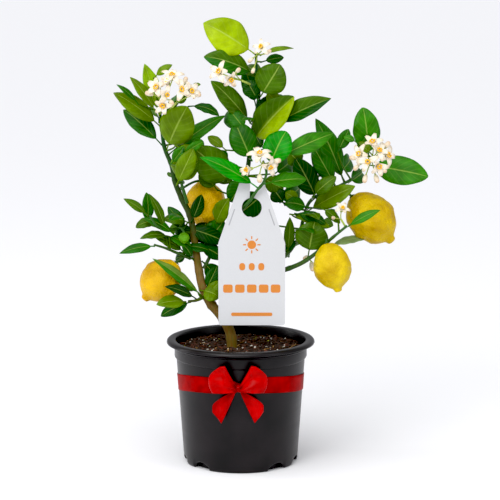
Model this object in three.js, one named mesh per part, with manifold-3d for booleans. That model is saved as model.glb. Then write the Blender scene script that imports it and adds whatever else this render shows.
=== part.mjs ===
// A young lemon tree in a nursery pot, with a hang tag on a twig and a satin ribbon tied round
// the pot. Millimetres, +Z up, origin at the centre of the pot's flat underside, bow facing -Y.
import * as THREE from "three";
import { mergeVertices } from "three/addons/utils/BufferGeometryUtils.js";
import Module from "manifold-3d";

const wasm = await Module();
wasm.setup();

// Air left between pieces that touch.
const CLEARANCE = 0.3;

// Nursery pot: one thin moulding.
const POT_HEIGHT = 160;
const RIM_RADIUS = 95;
const LIP_HEIGHT = 9;
const LIP_OVERHANG = 10;
const COLLAR_HEIGHT = 15;
const COLLAR_STEP = 2.5;
const POT_TAPER = 9.5;
const POT_WALL = 2.2;
const POT_FLOOR = 2.5;
const DRAIN_PAIRS = 3;
const DRAIN_SPLIT = 36;
const DRAIN_WIDTH = 28;
const DRAIN_HEIGHT = 8;
const DRAIN_TURN = 62;
const DRAIN_SETBACK = 9;

// Potting soil, filled to a little below the rim and mounded towards the middle.
const HEADSPACE = 11;
const SOIL_MOUND = 6;
const SOIL_GAP = 0.7;

// Ribbon round the pot, raised at the front by the bow.
const RIBBON_HEIGHT = 104;
const RIBBON_WIDTH = 21;
const RIBBON_THICKNESS = 0.8;
const RIBBON_RISE = 12;
const RIBBON_GAP = 0.5;

// Bow, tied in front of the ribbon.
const BOW_OFFSET = -3;
const BOW_GAP = 0.8;
const KNOT_WIDTH = 12;
const KNOT_HEIGHT = 9;
const KNOT_DEPTH = 7;
const LOOP_REACH = 32;
const LOOP_HEIGHT = 38;
const LOOP_DEPTH = 13;
const TAIL_LENGTH = 46;
const TAIL_WIDTH = 25;
const TAIL_THICKNESS = 1.2;

// Hang tag: a card with sloping shoulders, a hole for the twig and a slot to slip it on.
const TAG_HOLE_RADIUS = 12.5;
const TAG_TOP_HALF = 15.5;
const TAG_HALF_WIDTH = 42;
const TAG_CROWN = 31;
const TAG_SHOULDER = 45;
const TAG_FOOT = 150;
const TAG_THICKNESS = 0.8;
const SLOT_MOUTH = 16;
const SLOT_NECK = 5;

// The tag hangs on its twig by the top of its hole: the twig's share of its length there, the room
// the twig takes from the hole's edge, and the turn of the hole's centre from straight down.
const TAG_SHARE = 0.557;
const TWIG_ROOM = 4.3;
const TAG_SWING = 25.3;
const TAG_BACKSET = 0.4;

// Tree.
const TRUNK_RADIUS = 7.5;
const TRUNK_PLACE = [-11, -25];
const STUMP_DEPTH = 45;
const LEAF_THICKNESS = 1;
const PETIOLE_LENGTH = 9;
const PETIOLE_RADIUS = 0.9;
const STALK_RADIUS = 1.7;
const BLOSSOM_CUP = 0.45;

const v = (x, y, z) => new THREE.Vector3(x, y, z);
const paint = (color, roughness) => new THREE.MeshStandardMaterial({ color, roughness, metalness: 0 });

const POT_PLASTIC = paint(0x2b2a2d, 0.45);
const SOIL_BARK = paint(0x3a2820, 0.95);
const BARK = paint(0x6b6340, 0.85);
const GREEN_STEM = paint(0x4c6e1c, 0.6);
const LEMON_RIND = paint(0xe8c71e, 0.45);
const GREEN_RIND = paint(0x6fa51e, 0.5);
const TAG_CARD = paint(0xe6e6e6, 0.5);
const RED_SATIN = paint(0xc80a0a, 0.35);
const WHITE_PETAL = paint(0xf4efe4, 0.6);

const tree = new THREE.Group();
const pot = new THREE.Group();
const lemonTree = new THREE.Group();
lemonTree.add(pot, tree);

// Adds a named piece to a group.
function piece(group, name, geometry, material) {
  const mesh = new THREE.Mesh(geometry, material);
  mesh.name = name;
  group.add(mesh);
  return mesh;
}

// A geometry's bare closed surface, with its shared corners merged.
function bare(geometry) {
  const skin = geometry.index ? geometry.toNonIndexed() : geometry.clone();
  skin.deleteAttribute("normal");
  skin.deleteAttribute("uv");
  return mergeVertices(skin, 1e-3);
}

function solidOf(geometry) {
  const skin = bare(geometry);
  return new wasm.Manifold(
    new wasm.Mesh({
      numProp: 3,
      vertProperties: skin.attributes.position.array,
      triVerts: new Uint32Array(skin.index.array),
    }),
  );
}

function geometryOf(solid) {
  const mesh = solid.getMesh();
  return new THREE.BufferGeometry()
    .setAttribute("position", new THREE.BufferAttribute(mesh.vertProperties, 3))
    .setIndex(new THREE.BufferAttribute(mesh.triVerts, 1));
}

// A closed skin over a pole, rings and a second pole. place(row, turn) gives each point: row runs
// from 0, the first pole, to rows, the last one, and turn is the share of a full turn.
function loft(sides, rows, place) {
  const skin = new THREE.SphereGeometry(1, sides, rows);
  const points = skin.attributes.position;
  for (let row = 0; row <= rows; row++) {
    for (let side = 0; side <= sides; side++) {
      const p = place(row, -(side % sides) / sides);
      points.setXYZ(row * (sides + 1) + side, p.x, p.y, p.z);
    }
  }
  return bare(skin);
}

// ---------------------------------------------------------------- pot

const COLLAR_RADIUS = RIM_RADIUS - LIP_OVERHANG;
const BODY_TOP = POT_HEIGHT - LIP_HEIGHT - COLLAR_HEIGHT;

// Outer radius of the pot's tapered body at a height.
function bodyRadius(z) {
  return COLLAR_RADIUS - COLLAR_STEP - POT_TAPER * (1 - z / BODY_TOP);
}

function potShell() {
  const lipFoot = POT_HEIGHT - LIP_HEIGHT;
  const profile = [
    [0, 0],
    [bodyRadius(0) - 3, 0],
    [bodyRadius(0), 3],
    [bodyRadius(BODY_TOP), BODY_TOP],
    [COLLAR_RADIUS, BODY_TOP + 1.5],
    [COLLAR_RADIUS, lipFoot],
    [RIM_RADIUS - 2, lipFoot - 1],
    [RIM_RADIUS, lipFoot + 1],
    [RIM_RADIUS, POT_HEIGHT - 2.5],
    [RIM_RADIUS - 2.5, POT_HEIGHT],
    [COLLAR_RADIUS + 1, POT_HEIGHT],
    [COLLAR_RADIUS - POT_WALL, POT_HEIGHT - 2.5],
    [COLLAR_RADIUS - POT_WALL, BODY_TOP + 1.5],
    [bodyRadius(BODY_TOP) - POT_WALL, BODY_TOP],
    [bodyRadius(POT_FLOOR) - POT_WALL, POT_FLOOR],
    [0, POT_FLOOR],
  ];
  const turned = new THREE.LatheGeometry(profile.map(([r, z]) => new THREE.Vector2(r, z)), 48);
  return turned.rotateX(Math.PI / 2);
}

// An arched cutter that opens the corner between the pot's wall and its floor.
function drainCutter(turn) {
  const arch = new THREE.Shape();
  arch.moveTo(-DRAIN_WIDTH / 2, -1);
  arch.lineTo(DRAIN_WIDTH / 2, -1);
  arch.absellipse(0, 0, DRAIN_WIDTH / 2, DRAIN_HEIGHT, 0, Math.PI, false);
  const bar = new THREE.ExtrudeGeometry(arch, {
    depth: 2 * DRAIN_SETBACK,
    bevelEnabled: false,
    curveSegments: 5,
  });
  return bar
    .rotateX(Math.PI / 2)
    .translate(0, -(bodyRadius(0) - DRAIN_SETBACK), 0)
    .rotateZ(turn);
}

let shell = solidOf(potShell());
for (let i = 0; i < DRAIN_PAIRS; i++) {
  for (const side of [-0.5, 0.5]) {
    const turn = (360 / DRAIN_PAIRS) * i + DRAIN_TURN + side * DRAIN_SPLIT;
    shell = shell.subtract(solidOf(drainCutter(THREE.MathUtils.degToRad(-turn))));
  }
}
piece(pot, "nursery_pot", geometryOf(shell), POT_PLASTIC);

// ---------------------------------------------------------------- limbs

const soilTop = POT_HEIGHT - HEADSPACE;
tree.position.z = soilTop;

const limbs = {};

// A limb is a tapered round stem along a smooth route. It starts inside the limb that bears it, at a
// share of that limb's length, and takes its steps from there.
function route(bearer, share, steps) {
  const points = [bearer ? limbs[bearer].curve.getPointAt(share) : v(...TRUNK_PLACE, -STUMP_DEPTH)];
  for (const step of steps) points.push(points.at(-1).clone().add(v(...step)));
  return new THREE.CatmullRomCurve3(points, false, "centripetal");
}

function limbSkin({ curve, foot, tip }, sides, rows, swell) {
  const rings = rows - 2;
  const frames = curve.computeFrenetFrames(rings);
  return loft(sides, rows, (row, turn) => {
    const ring = THREE.MathUtils.clamp(row - 1, 0, rings);
    const share = ring / rings;
    const radius = THREE.MathUtils.lerp(foot, tip, share) + swell;
    const centre = curve.getPointAt(share);
    if (row === 0) return centre.addScaledVector(frames.tangents[0], -radius / 2);
    if (row === rows) return centre.addScaledVector(frames.tangents[rings], radius / 2);
    return centre
      .addScaledVector(frames.normals[ring], radius * Math.cos(2 * Math.PI * turn))
      .addScaledVector(frames.binormals[ring], radius * Math.sin(2 * Math.PI * turn));
  });
}

// Grows a limb and seats it on its bearer, with the clearance between them.
function growLimb(name, bearer, share, foot, tip, rows, steps, material) {
  limbs[name] = { curve: route(bearer, share, steps), foot, tip };
  let solid = solidOf(limbSkin(limbs[name], 8, rows, 0));
  if (bearer) solid = solid.subtract(solidOf(limbSkin(limbs[bearer], 8, limbs[bearer].rows, CLEARANCE)));
  limbs[name].rows = rows;
  piece(tree, name, geometryOf(solid), material);
}

growLimb("trunk", null, 0, TRUNK_RADIUS, 1.8, 18, [
  [0, 0, STUMP_DEPTH + 5],
  [-5, 1, 27],
  [-22, 4, 28],
  [-10, 2, 20],
  [-9, 8, 48],
  [-7, 10, 41],
  [-11, 8, 22],
  [-7, 5, 15],
  [-8, 9, 32],
  [-7, 4, 15],
  [-6, 8, 45],
], BARK);
growLimb("centre_limb", "trunk", 0.31, 4.6, 1.5, 14, [
  [18, 20, 50],
  [14, 18, 49],
  [15, 10, 63],
  [7, 2, 58],
  [8, -2, 32],
  [-3, -4, 32],
  [-1, -4, 32],
], BARK);
growLimb("right_limb", "trunk", 0.265, 4.4, 1.5, 10, [
  [30, 6, 34],
  [59, -6, 24],
  [25, -8, 13],
  [17, -8, 17],
  [20, -6, 20],
  [9, -2, 7],
], GREEN_STEM);
growLimb("right_high_limb", "right_limb", 0.35, 2.8, 1.4, 11, [
  [31, 17, 26],
  [13, 8, 10],
  [15, 16, 45],
  [7, 4, 13],
  [24, 6, 12],
  [24, 4, 10],
  [14, 2, 11],
  [14, 2, 17],
], GREEN_STEM);
growLimb("tag_twig", "centre_limb", 0.333, 2.6, 1.4, 12, [
  [4, -33, 15],
  [6, -21, 11],
  [7, -10, 9],
  [9, -7, 14],
  [13, -3, 20],
  [-4, 2, 18],
], GREEN_STEM);
growLimb("left_stem", "trunk", 0.637, 2.2, 1.3, 6, [
  [-1, -7, 11],
  [-8, -8, 33],
  [3, -6, 38],
], GREEN_STEM);
growLimb("low_left_twig", "trunk", 0.345, 2.2, 1.4, 5, [
  [-4, -8, -3],
  [-10, -11, -2],
  [-6, -6, 1],
], GREEN_STEM);
growLimb("mid_left_twig", "trunk", 0.463, 2.2, 1.3, 6, [
  [-22, -12, 11],
  [-19, -16, 11],
  [-11, -10, 5],
], GREEN_STEM);
growLimb("upper_left_twig", "trunk", 0.588, 2.2, 1.3, 6, [
  [-21, -17, -2],
  [-18, -18, 3],
  [-12, -14, 18],
], GREEN_STEM);
growLimb("inner_twig", "trunk", 0.41, 2.4, 1.4, 6, [
  [13, 13, 25],
  [6, 10, 16],
  [-1, 8, 22],
], GREEN_STEM);

// ---------------------------------------------------------------- soil

function soilBody() {
  const foot = bodyRadius(POT_FLOOR) - POT_WALL - SOIL_GAP;
  const shoulder = bodyRadius(BODY_TOP) - POT_WALL - SOIL_GAP;
  const profile = [
    [0, POT_FLOOR + CLEARANCE],
    [foot, POT_FLOOR + CLEARANCE],
    [shoulder, BODY_TOP],
    [shoulder, soilTop],
    [shoulder * 0.6, soilTop + SOIL_MOUND * 0.6],
    [0, soilTop + SOIL_MOUND],
  ];
  const heap = new THREE.LatheGeometry(profile.map(([r, z]) => new THREE.Vector2(r, z)), 32);
  return heap.rotateX(Math.PI / 2);
}

const socket = limbSkin(limbs.trunk, 8, limbs.trunk.rows, CLEARANCE).translate(0, 0, soilTop);
piece(pot, "potting_soil", geometryOf(solidOf(soilBody()).subtract(solidOf(socket))), SOIL_BARK);

// ---------------------------------------------------------------- leaves

// Half widths along a blade, as shares of its widest half, from the end of the petiole to the tip.
const BLADE = [0.55, 0.9, 1, 0.86, 0.5];

// Where something borne by a limb starts: clear of the limb's skin, on the way to its far end.
function startOn(limb, share, reach, radius) {
  const { curve, foot, tip } = limbs[limb];
  const along = curve.getTangentAt(share);
  const way = reach.clone().normalize();
  const slope = Math.max(Math.sqrt(1 - along.dot(way) ** 2), 0.35);
  const skin = THREE.MathUtils.lerp(foot, tip, share);
  return curve.getPointAt(share).addScaledVector(way, (skin + radius + CLEARANCE) / slope);
}

// A leaf: a petiole and a pointed blade, bowed towards its face and folded along the midrib.
function leafSkin(limb, share, reach, width, face, arch, fold, petiole) {
  const reachVector = v(...reach);
  const start = startOn(limb, share, reachVector, PETIOLE_RADIUS);
  const end = limbs[limb].curve.getPointAt(share).add(reachVector);
  const way = end.clone().sub(start).normalize();
  const up = v(...face).addScaledVector(way, -v(...face).dot(way)).normalize();
  const middle = start.clone().lerp(end, 0.5).addScaledVector(up, 2 * arch);
  const spine = new THREE.QuadraticBezierCurve3(start, middle, end);
  const stalk = petiole / spine.getLength();
  const rows = BLADE.length + 3;
  const lift = Math.tan(THREE.MathUtils.degToRad(fold));
  return loft(4, rows, (row, turn) => {
    if (row === 0) return spine.getPoint(0);
    if (row === rows) return spine.getPoint(1);
    const onStalk = row < 3;
    const stalkAt = row === 1 ? stalk / 4 : stalk;
    const bladeAt = stalk + ((1 - stalk) * (row - 2)) / (BLADE.length + 1);
    const at = onStalk ? stalkAt : bladeAt;
    const half = onStalk ? PETIOLE_RADIUS : (width / 2) * BLADE[row - 3];
    const along = spine.getTangent(at);
    const across = v(0, 0, 0).crossVectors(up, along).normalize();
    const above = v(0, 0, 0).crossVectors(along, across);
    const edge = Math.cos(2 * Math.PI * turn);
    const side = Math.sin(2 * Math.PI * turn);
    const thick = onStalk ? PETIOLE_RADIUS : LEAF_THICKNESS / 2;
    const folded = onStalk ? 0 : Math.abs(edge) * half * lift;
    return spine
      .getPoint(at)
      .addScaledVector(across, half * edge)
      .addScaledVector(above, thick * side + folded);
  });
}

// Each leaf: name, limb, share of the limb, reach from the limb to the tip, width, facing,
// arch, fold, colour and, where it is long, petiole.
const LEAVES = [
  ["top_leaf_lime", "centre_limb", 0.99, [-66, -12, 42], 48, [0.3, -1, 0.5], 5, 10, 0xa8cc10],
  ["top_leaf_left", "centre_limb", 0.91, [-66, -26, 27], 32, [0.2, -0.9, 1], 7, 16, 0x3e8c00],
  ["top_leaf_back", "centre_limb", 0.77, [-16, 26, 52], 24, [0.3, -1, 0.1], 4, 14, 0x2c5f08],
  ["long_leaf_left", "centre_limb", 0.71, [-52, -24, 60], 28, [0.8, -1, 0.4], 4, 16, 0x4c8500],
  ["long_leaf_right", "centre_limb", 0.64, [54, -34, 64], 42, [-0.6, -1, 0.3], 6, 22, 0x6fae12],
  ["twig_leaf_upright", "tag_twig", 0.88, [24, 8, 54], 38, [-0.5, -1, 0.2], 5, 16, 0x22a30a],
  ["twig_leaf_left", "tag_twig", 0.73, [-73, -8, 41], 24, [0.3, -0.8, 1], 6, 14, 0x35990c],
  ["twig_leaf_right", "tag_twig", 0.78, [56, 24, 3], 23, [0, -0.8, 1], 4, 16, 0x4f9a16],
  ["twig_leaf_back", "tag_twig", 0.97, [88, 34, 36], 27, [-0.3, -1, 0.8], 5, 14, 0x58a818, 28],
  ["shade_leaf", "centre_limb", 0.44, [-60, -32, 64], 46, [0.4, -1, 0.2], 5, 12, 0x35580a, 28],
  ["arched_leaf", "centre_limb", 0.66, [100, -39, 56], 28, [-0.4, -1, 0.9], 8, 18, 0x3f8a10, 45],
  ["cluster_leaf_upright", "trunk", 0.97, [-20, -4, 74], 22, [0.6, -1, 0], 3, 20, 0x8fbf14],
  ["cluster_leaf_left", "trunk", 0.95, [-59, -22, 47], 26, [0.5, -1, 0.8], 5, 14, 0x5d7f10],
  ["cluster_leaf_back", "trunk", 0.88, [-54, 30, 46], 26, [0.4, -1, 0.6], 5, 14, 0x2f6a0c],
  ["cluster_leaf_olive", "trunk", 0.865, [28, -27, 60], 48, [-0.3, -1, 0.1], 5, 10, 0x6e8e10],
  ["cluster_leaf_right", "trunk", 0.85, [74, 18, 50], 23, [-0.3, -0.8, 1], 5, 16, 0x3a7d0c],
  ["left_leaf_upper", "upper_left_twig", 0.95, [-34, -18, 28], 20, [0.4, -1, 0.8], 4, 14, 0x3f7d12],
  ["left_leaf_lower", "mid_left_twig", 0.97, [-46, -12, -8], 19, [0.1, -0.7, 1], 5, 12, 0x4c7a14],
  ["stem_leaf", "trunk", 0.735, [20, -24, 50], 38, [-0.4, -1, 0.2], 4, 12, 0x52780e],
  ["inner_leaf", "inner_twig", 0.94, [18, -36, 42], 24, [-0.6, -1, 0.2], 4, 16, 0x5c7d12],
  ["low_leaf_upper", "low_left_twig", 0.2, [-61, -48, 58], 25, [0.6, -0.8, 0.9], 4, 12, 0x6b7f1c],
  ["low_leaf_front", "low_left_twig", 0.5, [-40, -46, 26], 20, [0.5, -0.8, 0.9], 4, 14, 0x1f4a0c],
  ["low_leaf_middle", "low_left_twig", 0.97, [-40, -34, 3], 20, [0.1, -0.9, 1], 4, 12, 0x3c7a14],
  ["low_leaf_lower", "low_left_twig", 0.85, [-40, -2, -19], 18, [0.1, -0.9, 1], 5, 14, 0x3a5f10],
  ["right_leaf_upright", "right_high_limb", 0.985, [-8, -4, 70], 37, [0.3, -1, 0], 4, 12, 0x5f9a14],
  ["right_leaf_outer", "right_high_limb", 0.96, [78, -22, -12], 40, [0, -1, 0.5], 4, 12, 0x4f8f12],
  ["right_leaf_dark", "right_high_limb", 0.79, [-37, -18, 86], 30, [0.4, -1, 0.3], 5, 16, 0x2f7010],
  ["right_leaf_back", "right_high_limb", 0.7, [-21, 26, 52], 25, [0.5, -1, 0.2], 4, 14, 0x24500c],
  ["right_leaf_olive", "right_high_limb", 0.49, [62, -26, 38], 27, [-0.4, -1, 0.6], 4, 16, 0x5f8a18],
  ["right_leaf_round", "right_limb", 0.67, [9, -3, 50], 44, [-0.2, -1, 0.1], 4, 8, 0x557f0a],
  ["right_leaf_narrow", "right_limb", 0.985, [45, -8, 25], 13, [-0.3, -0.8, 1], 3, 14, 0x4f8a1c],
];

for (const [name, limb, share, reach, width, face, arch, fold, color, petiole] of LEAVES) {
  const skin = leafSkin(limb, share, reach, width, face, arch, fold, petiole ?? PETIOLE_LENGTH);
  piece(tree, name, skin, paint(color, 0.4));
}

// ---------------------------------------------------------------- fruit

// A lemon's half profile, from the stalk to the nipple: share of its length, share of its radius.
const LEMON_PROFILE = [
  [0.04, 0.24],
  [0.1, 0.5],
  [0.24, 0.84],
  [0.42, 1],
  [0.6, 0.97],
  [0.76, 0.78],
  [0.87, 0.46],
  [0.94, 0.24],
  [0.985, 0.15],
];

// A lemon hangs from its limb by a stalk, which is part of the same body.
function lemonSkin(limb, share, stalkReach, reach, width) {
  const hang = v(...stalkReach);
  const start = startOn(limb, share, hang, STALK_RADIUS);
  const crown = limbs[limb].curve.getPointAt(share).add(hang);
  const axis = v(...reach);
  const length = axis.length();
  const turned = [[0, 0], ...LEMON_PROFILE, [1, 0]];
  const profile = turned.map(([along, out]) => new THREE.Vector2((out * width) / 2, along * length));
  const body = new THREE.LatheGeometry(profile, 14);
  body.applyQuaternion(new THREE.Quaternion().setFromUnitVectors(v(0, 1, 0), axis.clone().normalize()));
  body.translate(crown.x, crown.y, crown.z);
  const into = crown.clone().addScaledVector(axis, 0.08);
  const path = new THREE.CatmullRomCurve3([start, crown, into], false, "centripetal");
  const stalk = limbSkin({ curve: path, foot: STALK_RADIUS, tip: STALK_RADIUS }, 8, 5, 0);
  return geometryOf(solidOf(body).add(solidOf(stalk)));
}

// Each fruit: name, limb, share of the limb, reach of the stalk, reach of the fruit, width, rind.
const FRUIT = [
  ["lemon_low_left", "mid_left_twig", 0.33, [-8, -2, -9], [-41, -12, -46], 51, LEMON_RIND],
  ["lemon_inner", "trunk", 0.713, [31, 15, 12], [6, 14, -64], 54, LEMON_RIND],
  ["lemon_right", "right_high_limb", 0.81, [5, -12, -17], [52, -20, -56], 59, LEMON_RIND],
  ["lemon_low_right", "right_limb", 0.81, [4, -10, 6], [15, -14, -60], 47, LEMON_RIND],
  ["green_fruitlet", "upper_left_twig", 0.3, [8, -10, -3], [1, -4, -14], 14, GREEN_RIND],
];

for (const [name, limb, share, stalkReach, reach, width, rind] of FRUIT) {
  piece(tree, name, lemonSkin(limb, share, stalkReach, reach, width), rind);
}

// ---------------------------------------------------------------- blossom

// A blossom cluster: a short stalk that opens into one scalloped cup of petals.
function blossomSkin(limb, share, reach, radius, petals) {
  const away = v(...reach);
  const start = startOn(limb, share, away, STALK_RADIUS);
  const mouth = limbs[limb].curve.getPointAt(share).add(away);
  const out = away.clone().normalize();
  const across = v(0, 0, 1).cross(out).normalize();
  const above = v(0, 0, 0).crossVectors(out, across);
  const throat = mouth.clone().addScaledVector(out, -radius * BLOSSOM_CUP);
  const rings = [
    [start, STALK_RADIUS, 0],
    [throat, STALK_RADIUS * 1.6, 0],
    [mouth, radius, 0.35],
    [mouth.clone().addScaledVector(out, -2), radius * 0.5, 0.1],
  ];
  return loft(petals * 4, rings.length + 1, (row, turn) => {
    if (row === 0) return start.clone().addScaledVector(out, -0.1);
    if (row > rings.length) return throat.clone().lerp(mouth, 0.4);
    const [centre, size, lobes] = rings[row - 1];
    const wave = 1 - lobes * (0.5 + 0.5 * Math.cos(2 * Math.PI * petals * turn));
    return centre
      .clone()
      .addScaledVector(across, size * wave * Math.cos(2 * Math.PI * turn))
      .addScaledVector(above, size * wave * Math.sin(2 * Math.PI * turn));
  });
}

// Each cluster: name, limb, share of the limb, reach to the mouth, radius.
const BLOSSOMS = [
  ["blossom_left", "trunk", 0.99, [2, -28, 28], 15],
  ["blossom_left_outer", "trunk", 0.97, [30, -26, 40], 14],
  ["blossom_top", "centre_limb", 0.86, [-42, -50, 26], 14],
  ["blossom_centre", "tag_twig", 0.985, [-4, -20, 16], 17],
  ["blossom_right", "right_high_limb", 0.995, [12, -22, 12], 20],
];

for (const [name, limb, share, reach, radius] of BLOSSOMS) {
  piece(tree, name, blossomSkin(limb, share, reach, radius, 5), WHITE_PETAL);
}

// ---------------------------------------------------------------- tag

function tagCard() {
  const card = new THREE.Shape();
  card.moveTo(-TAG_HALF_WIDTH, -TAG_FOOT);
  card.lineTo(TAG_HALF_WIDTH, -TAG_FOOT);
  card.lineTo(TAG_HALF_WIDTH, -TAG_SHOULDER);
  card.lineTo(TAG_TOP_HALF, TAG_CROWN);
  card.lineTo(SLOT_MOUTH - 2, TAG_CROWN);
  card.lineTo(SLOT_NECK / 2, TAG_HOLE_RADIUS);
  const open = Math.acos(SLOT_NECK / 2 / TAG_HOLE_RADIUS);
  card.absarc(0, 0, TAG_HOLE_RADIUS, open, -Math.PI - open, true);
  card.lineTo(-2, TAG_CROWN);
  card.lineTo(-TAG_TOP_HALF, TAG_CROWN);
  card.lineTo(-TAG_HALF_WIDTH, -TAG_SHOULDER);
  card.closePath();
  const slab = new THREE.ExtrudeGeometry(card, {
    depth: TAG_THICKNESS,
    bevelEnabled: false,
    curveSegments: 24,
  });
  return slab.rotateX(Math.PI / 2);
}

// The twig passes through the hole from behind the card to its front.
const crossing = limbs.tag_twig.curve.getPointAt(TAG_SHARE);
const swing = THREE.MathUtils.degToRad(TAG_SWING);
const hang = TAG_HOLE_RADIUS - TWIG_ROOM;
const tag = piece(tree, "plant_tag", bare(tagCard()), TAG_CARD);
tag.position.copy(crossing).add(v(hang * Math.sin(swing), TAG_BACKSET, -hang * Math.cos(swing)));

// ---------------------------------------------------------------- ribbon and bow

// Height of the ribbon's lower edge at a turn about the pot, with front as 1 and back as -1.
function ribbonFoot(front) {
  return RIBBON_HEIGHT - RIBBON_WIDTH / 2 + RIBBON_RISE * front;
}

function ribbonRing() {
  const outer = RIBBON_GAP + RIBBON_THICKNESS;
  const profile = [
    [RIBBON_GAP, 0],
    [outer, 0],
    [outer, RIBBON_WIDTH],
    [RIBBON_GAP, RIBBON_WIDTH],
    [RIBBON_GAP, 0],
  ];
  const points = profile.map(([off, rise]) => new THREE.Vector2(RIM_RADIUS + off, rise));
  const ring = new THREE.LatheGeometry(points, 48).rotateX(Math.PI / 2);
  const place = ring.attributes.position;
  for (let i = 0; i < place.count; i++) {
    const turn = Math.atan2(place.getY(i), place.getX(i));
    const off = Math.hypot(place.getX(i), place.getY(i)) - RIM_RADIUS;
    const z = place.getZ(i) + ribbonFoot(-Math.sin(turn));
    const radius = bodyRadius(z) + off;
    place.setXYZ(i, radius * Math.cos(turn), radius * Math.sin(turn), z);
  }
  return bare(ring);
}

piece(pot, "ribbon_band", ribbonRing(), RED_SATIN);

const knotHeight = ribbonFoot(1) + RIBBON_WIDTH * 0.4;
const ribbonTop = ribbonFoot(1) + RIBBON_WIDTH;
const knotFace = -bodyRadius(ribbonTop) - RIBBON_GAP - RIBBON_THICKNESS - BOW_GAP;

const bow = new THREE.Group();
bow.position.set(BOW_OFFSET, knotFace, knotHeight);
pot.add(bow);

// One loop of the bow: a closed skin through oval rings, each a centre, a height and a depth.
function loopSkin(hand, rings) {
  const first = v(...rings[0][0]);
  const last = v(...rings.at(-1)[0]);
  return loft(12, rings.length + 1, (row, turn) => {
    if (row === 0) return first.clone();
    if (row > rings.length) return last.clone();
    const [centre, height, depth] = rings[row - 1];
    const rise = (-hand * Math.sin(2 * Math.PI * turn) * height) / 2;
    const out = (Math.cos(2 * Math.PI * turn) * depth) / 2;
    return v(...centre).add(v(0, -out, rise));
  });
}

const KNOT_HALF = KNOT_WIDTH / 2;
const knot = new THREE.SphereGeometry(1, 14, 8);
knot.scale(KNOT_HALF, KNOT_DEPTH / 2, KNOT_HEIGHT / 2).translate(0, -KNOT_DEPTH / 2, 0);
piece(bow, "bow_knot", bare(knot), RED_SATIN);

// A tail hangs behind its loop: its inner edge is straight and its outer edge bows out to the tip.
function tailPlate(hand) {
  const outer = hand * TAIL_WIDTH;
  const tip = hand * TAIL_WIDTH * 0.95;
  const plate = new THREE.Shape();
  plate.moveTo(hand * 3, -KNOT_HEIGHT / 2 - CLEARANCE);
  plate.lineTo(tip, -TAIL_LENGTH);
  plate.lineTo(outer * 1.15, -TAIL_LENGTH * 0.75);
  plate.quadraticCurveTo(outer * 1.6, -TAIL_LENGTH * 0.4, hand * (KNOT_HALF + 1), -KNOT_HEIGHT / 2);
  plate.closePath();
  const strip = new THREE.ExtrudeGeometry(plate, {
    depth: TAIL_THICKNESS,
    bevelEnabled: false,
    curveSegments: 8,
  });
  return strip.rotateX(Math.PI / 2);
}

for (const [side, hand] of [["left", -1], ["right", 1]]) {
  const from = KNOT_HALF + CLEARANCE;
  const rings = [
    [[0, -8, 0], 6, 4],
    [[LOOP_REACH * 0.2, -9, 5], 16, 8],
    [[LOOP_REACH * 0.5, -9, 12.5], LOOP_HEIGHT * 0.9, LOOP_DEPTH],
    [[LOOP_REACH * 0.8, -9, 13.5], LOOP_HEIGHT * 0.8, LOOP_DEPTH],
    [[LOOP_REACH, -8, 9], LOOP_HEIGHT * 0.5, LOOP_DEPTH * 0.5],
  ].map(([[x, y, z], height, depth]) => [[hand * (from + x), y, z], height, depth]);
  piece(bow, `bow_loop_${side}`, loopSkin(hand, rings), RED_SATIN);
  piece(bow, `bow_tail_${side}`, bare(tailPlate(hand)), RED_SATIN);
}

export default lemonTree;
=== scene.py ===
# %% [markdown]
# # A young lemon tree in a nursery pot
# The object is a grafted lemon tree about 0.57 m tall: a black nursery pot with a red satin ribbon
# and bow, potting soil, a leaning trunk with thin green twigs, glossy leaves, four lemons, white
# blossom and a hang tag. The CAD model gives the places and sizes; these cells give the looks.

# %% Load the fixed frame
import math
import random

import bmesh
import bpy
from mathutils import Matrix, Vector, noise


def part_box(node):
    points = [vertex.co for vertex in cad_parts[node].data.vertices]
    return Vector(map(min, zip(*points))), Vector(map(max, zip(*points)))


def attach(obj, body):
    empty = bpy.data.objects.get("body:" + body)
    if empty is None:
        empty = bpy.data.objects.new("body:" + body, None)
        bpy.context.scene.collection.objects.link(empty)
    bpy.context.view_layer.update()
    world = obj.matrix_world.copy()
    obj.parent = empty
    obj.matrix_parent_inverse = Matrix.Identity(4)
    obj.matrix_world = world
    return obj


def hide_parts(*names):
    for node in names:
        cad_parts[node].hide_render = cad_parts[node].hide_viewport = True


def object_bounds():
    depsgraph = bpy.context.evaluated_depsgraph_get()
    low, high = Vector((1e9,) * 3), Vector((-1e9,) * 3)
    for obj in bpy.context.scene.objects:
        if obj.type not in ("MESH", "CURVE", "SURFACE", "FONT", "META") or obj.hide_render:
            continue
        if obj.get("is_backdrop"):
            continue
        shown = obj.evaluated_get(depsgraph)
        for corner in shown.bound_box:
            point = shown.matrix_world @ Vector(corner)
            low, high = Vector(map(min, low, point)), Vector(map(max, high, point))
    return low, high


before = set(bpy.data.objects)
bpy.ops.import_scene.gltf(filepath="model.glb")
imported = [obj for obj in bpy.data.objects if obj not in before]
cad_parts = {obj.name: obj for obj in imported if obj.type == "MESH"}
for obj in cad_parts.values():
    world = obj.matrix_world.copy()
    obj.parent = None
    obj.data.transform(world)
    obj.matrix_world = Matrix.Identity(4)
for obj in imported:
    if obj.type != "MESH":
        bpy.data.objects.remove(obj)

MM = 0.001
UP = Vector((0, 0, 1))
cad_low, cad_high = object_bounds()
print("CAD box in mm:", [round(x / MM, 1) for x in (*cad_low, *cad_high)])


def point(x, y, z):
    """A place given in millimetres, as a vector in metres."""
    return Vector((x, y, z)) * MM

# %% [markdown]
# ## Colours and nodes
# Colours are picked on a screen as sRGB, but shaders add light in linear numbers, so one function
# turns a hex colour to linear. A second one adds a node with its settings and its links: with it a
# whole material reads as a short list of steps.

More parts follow.
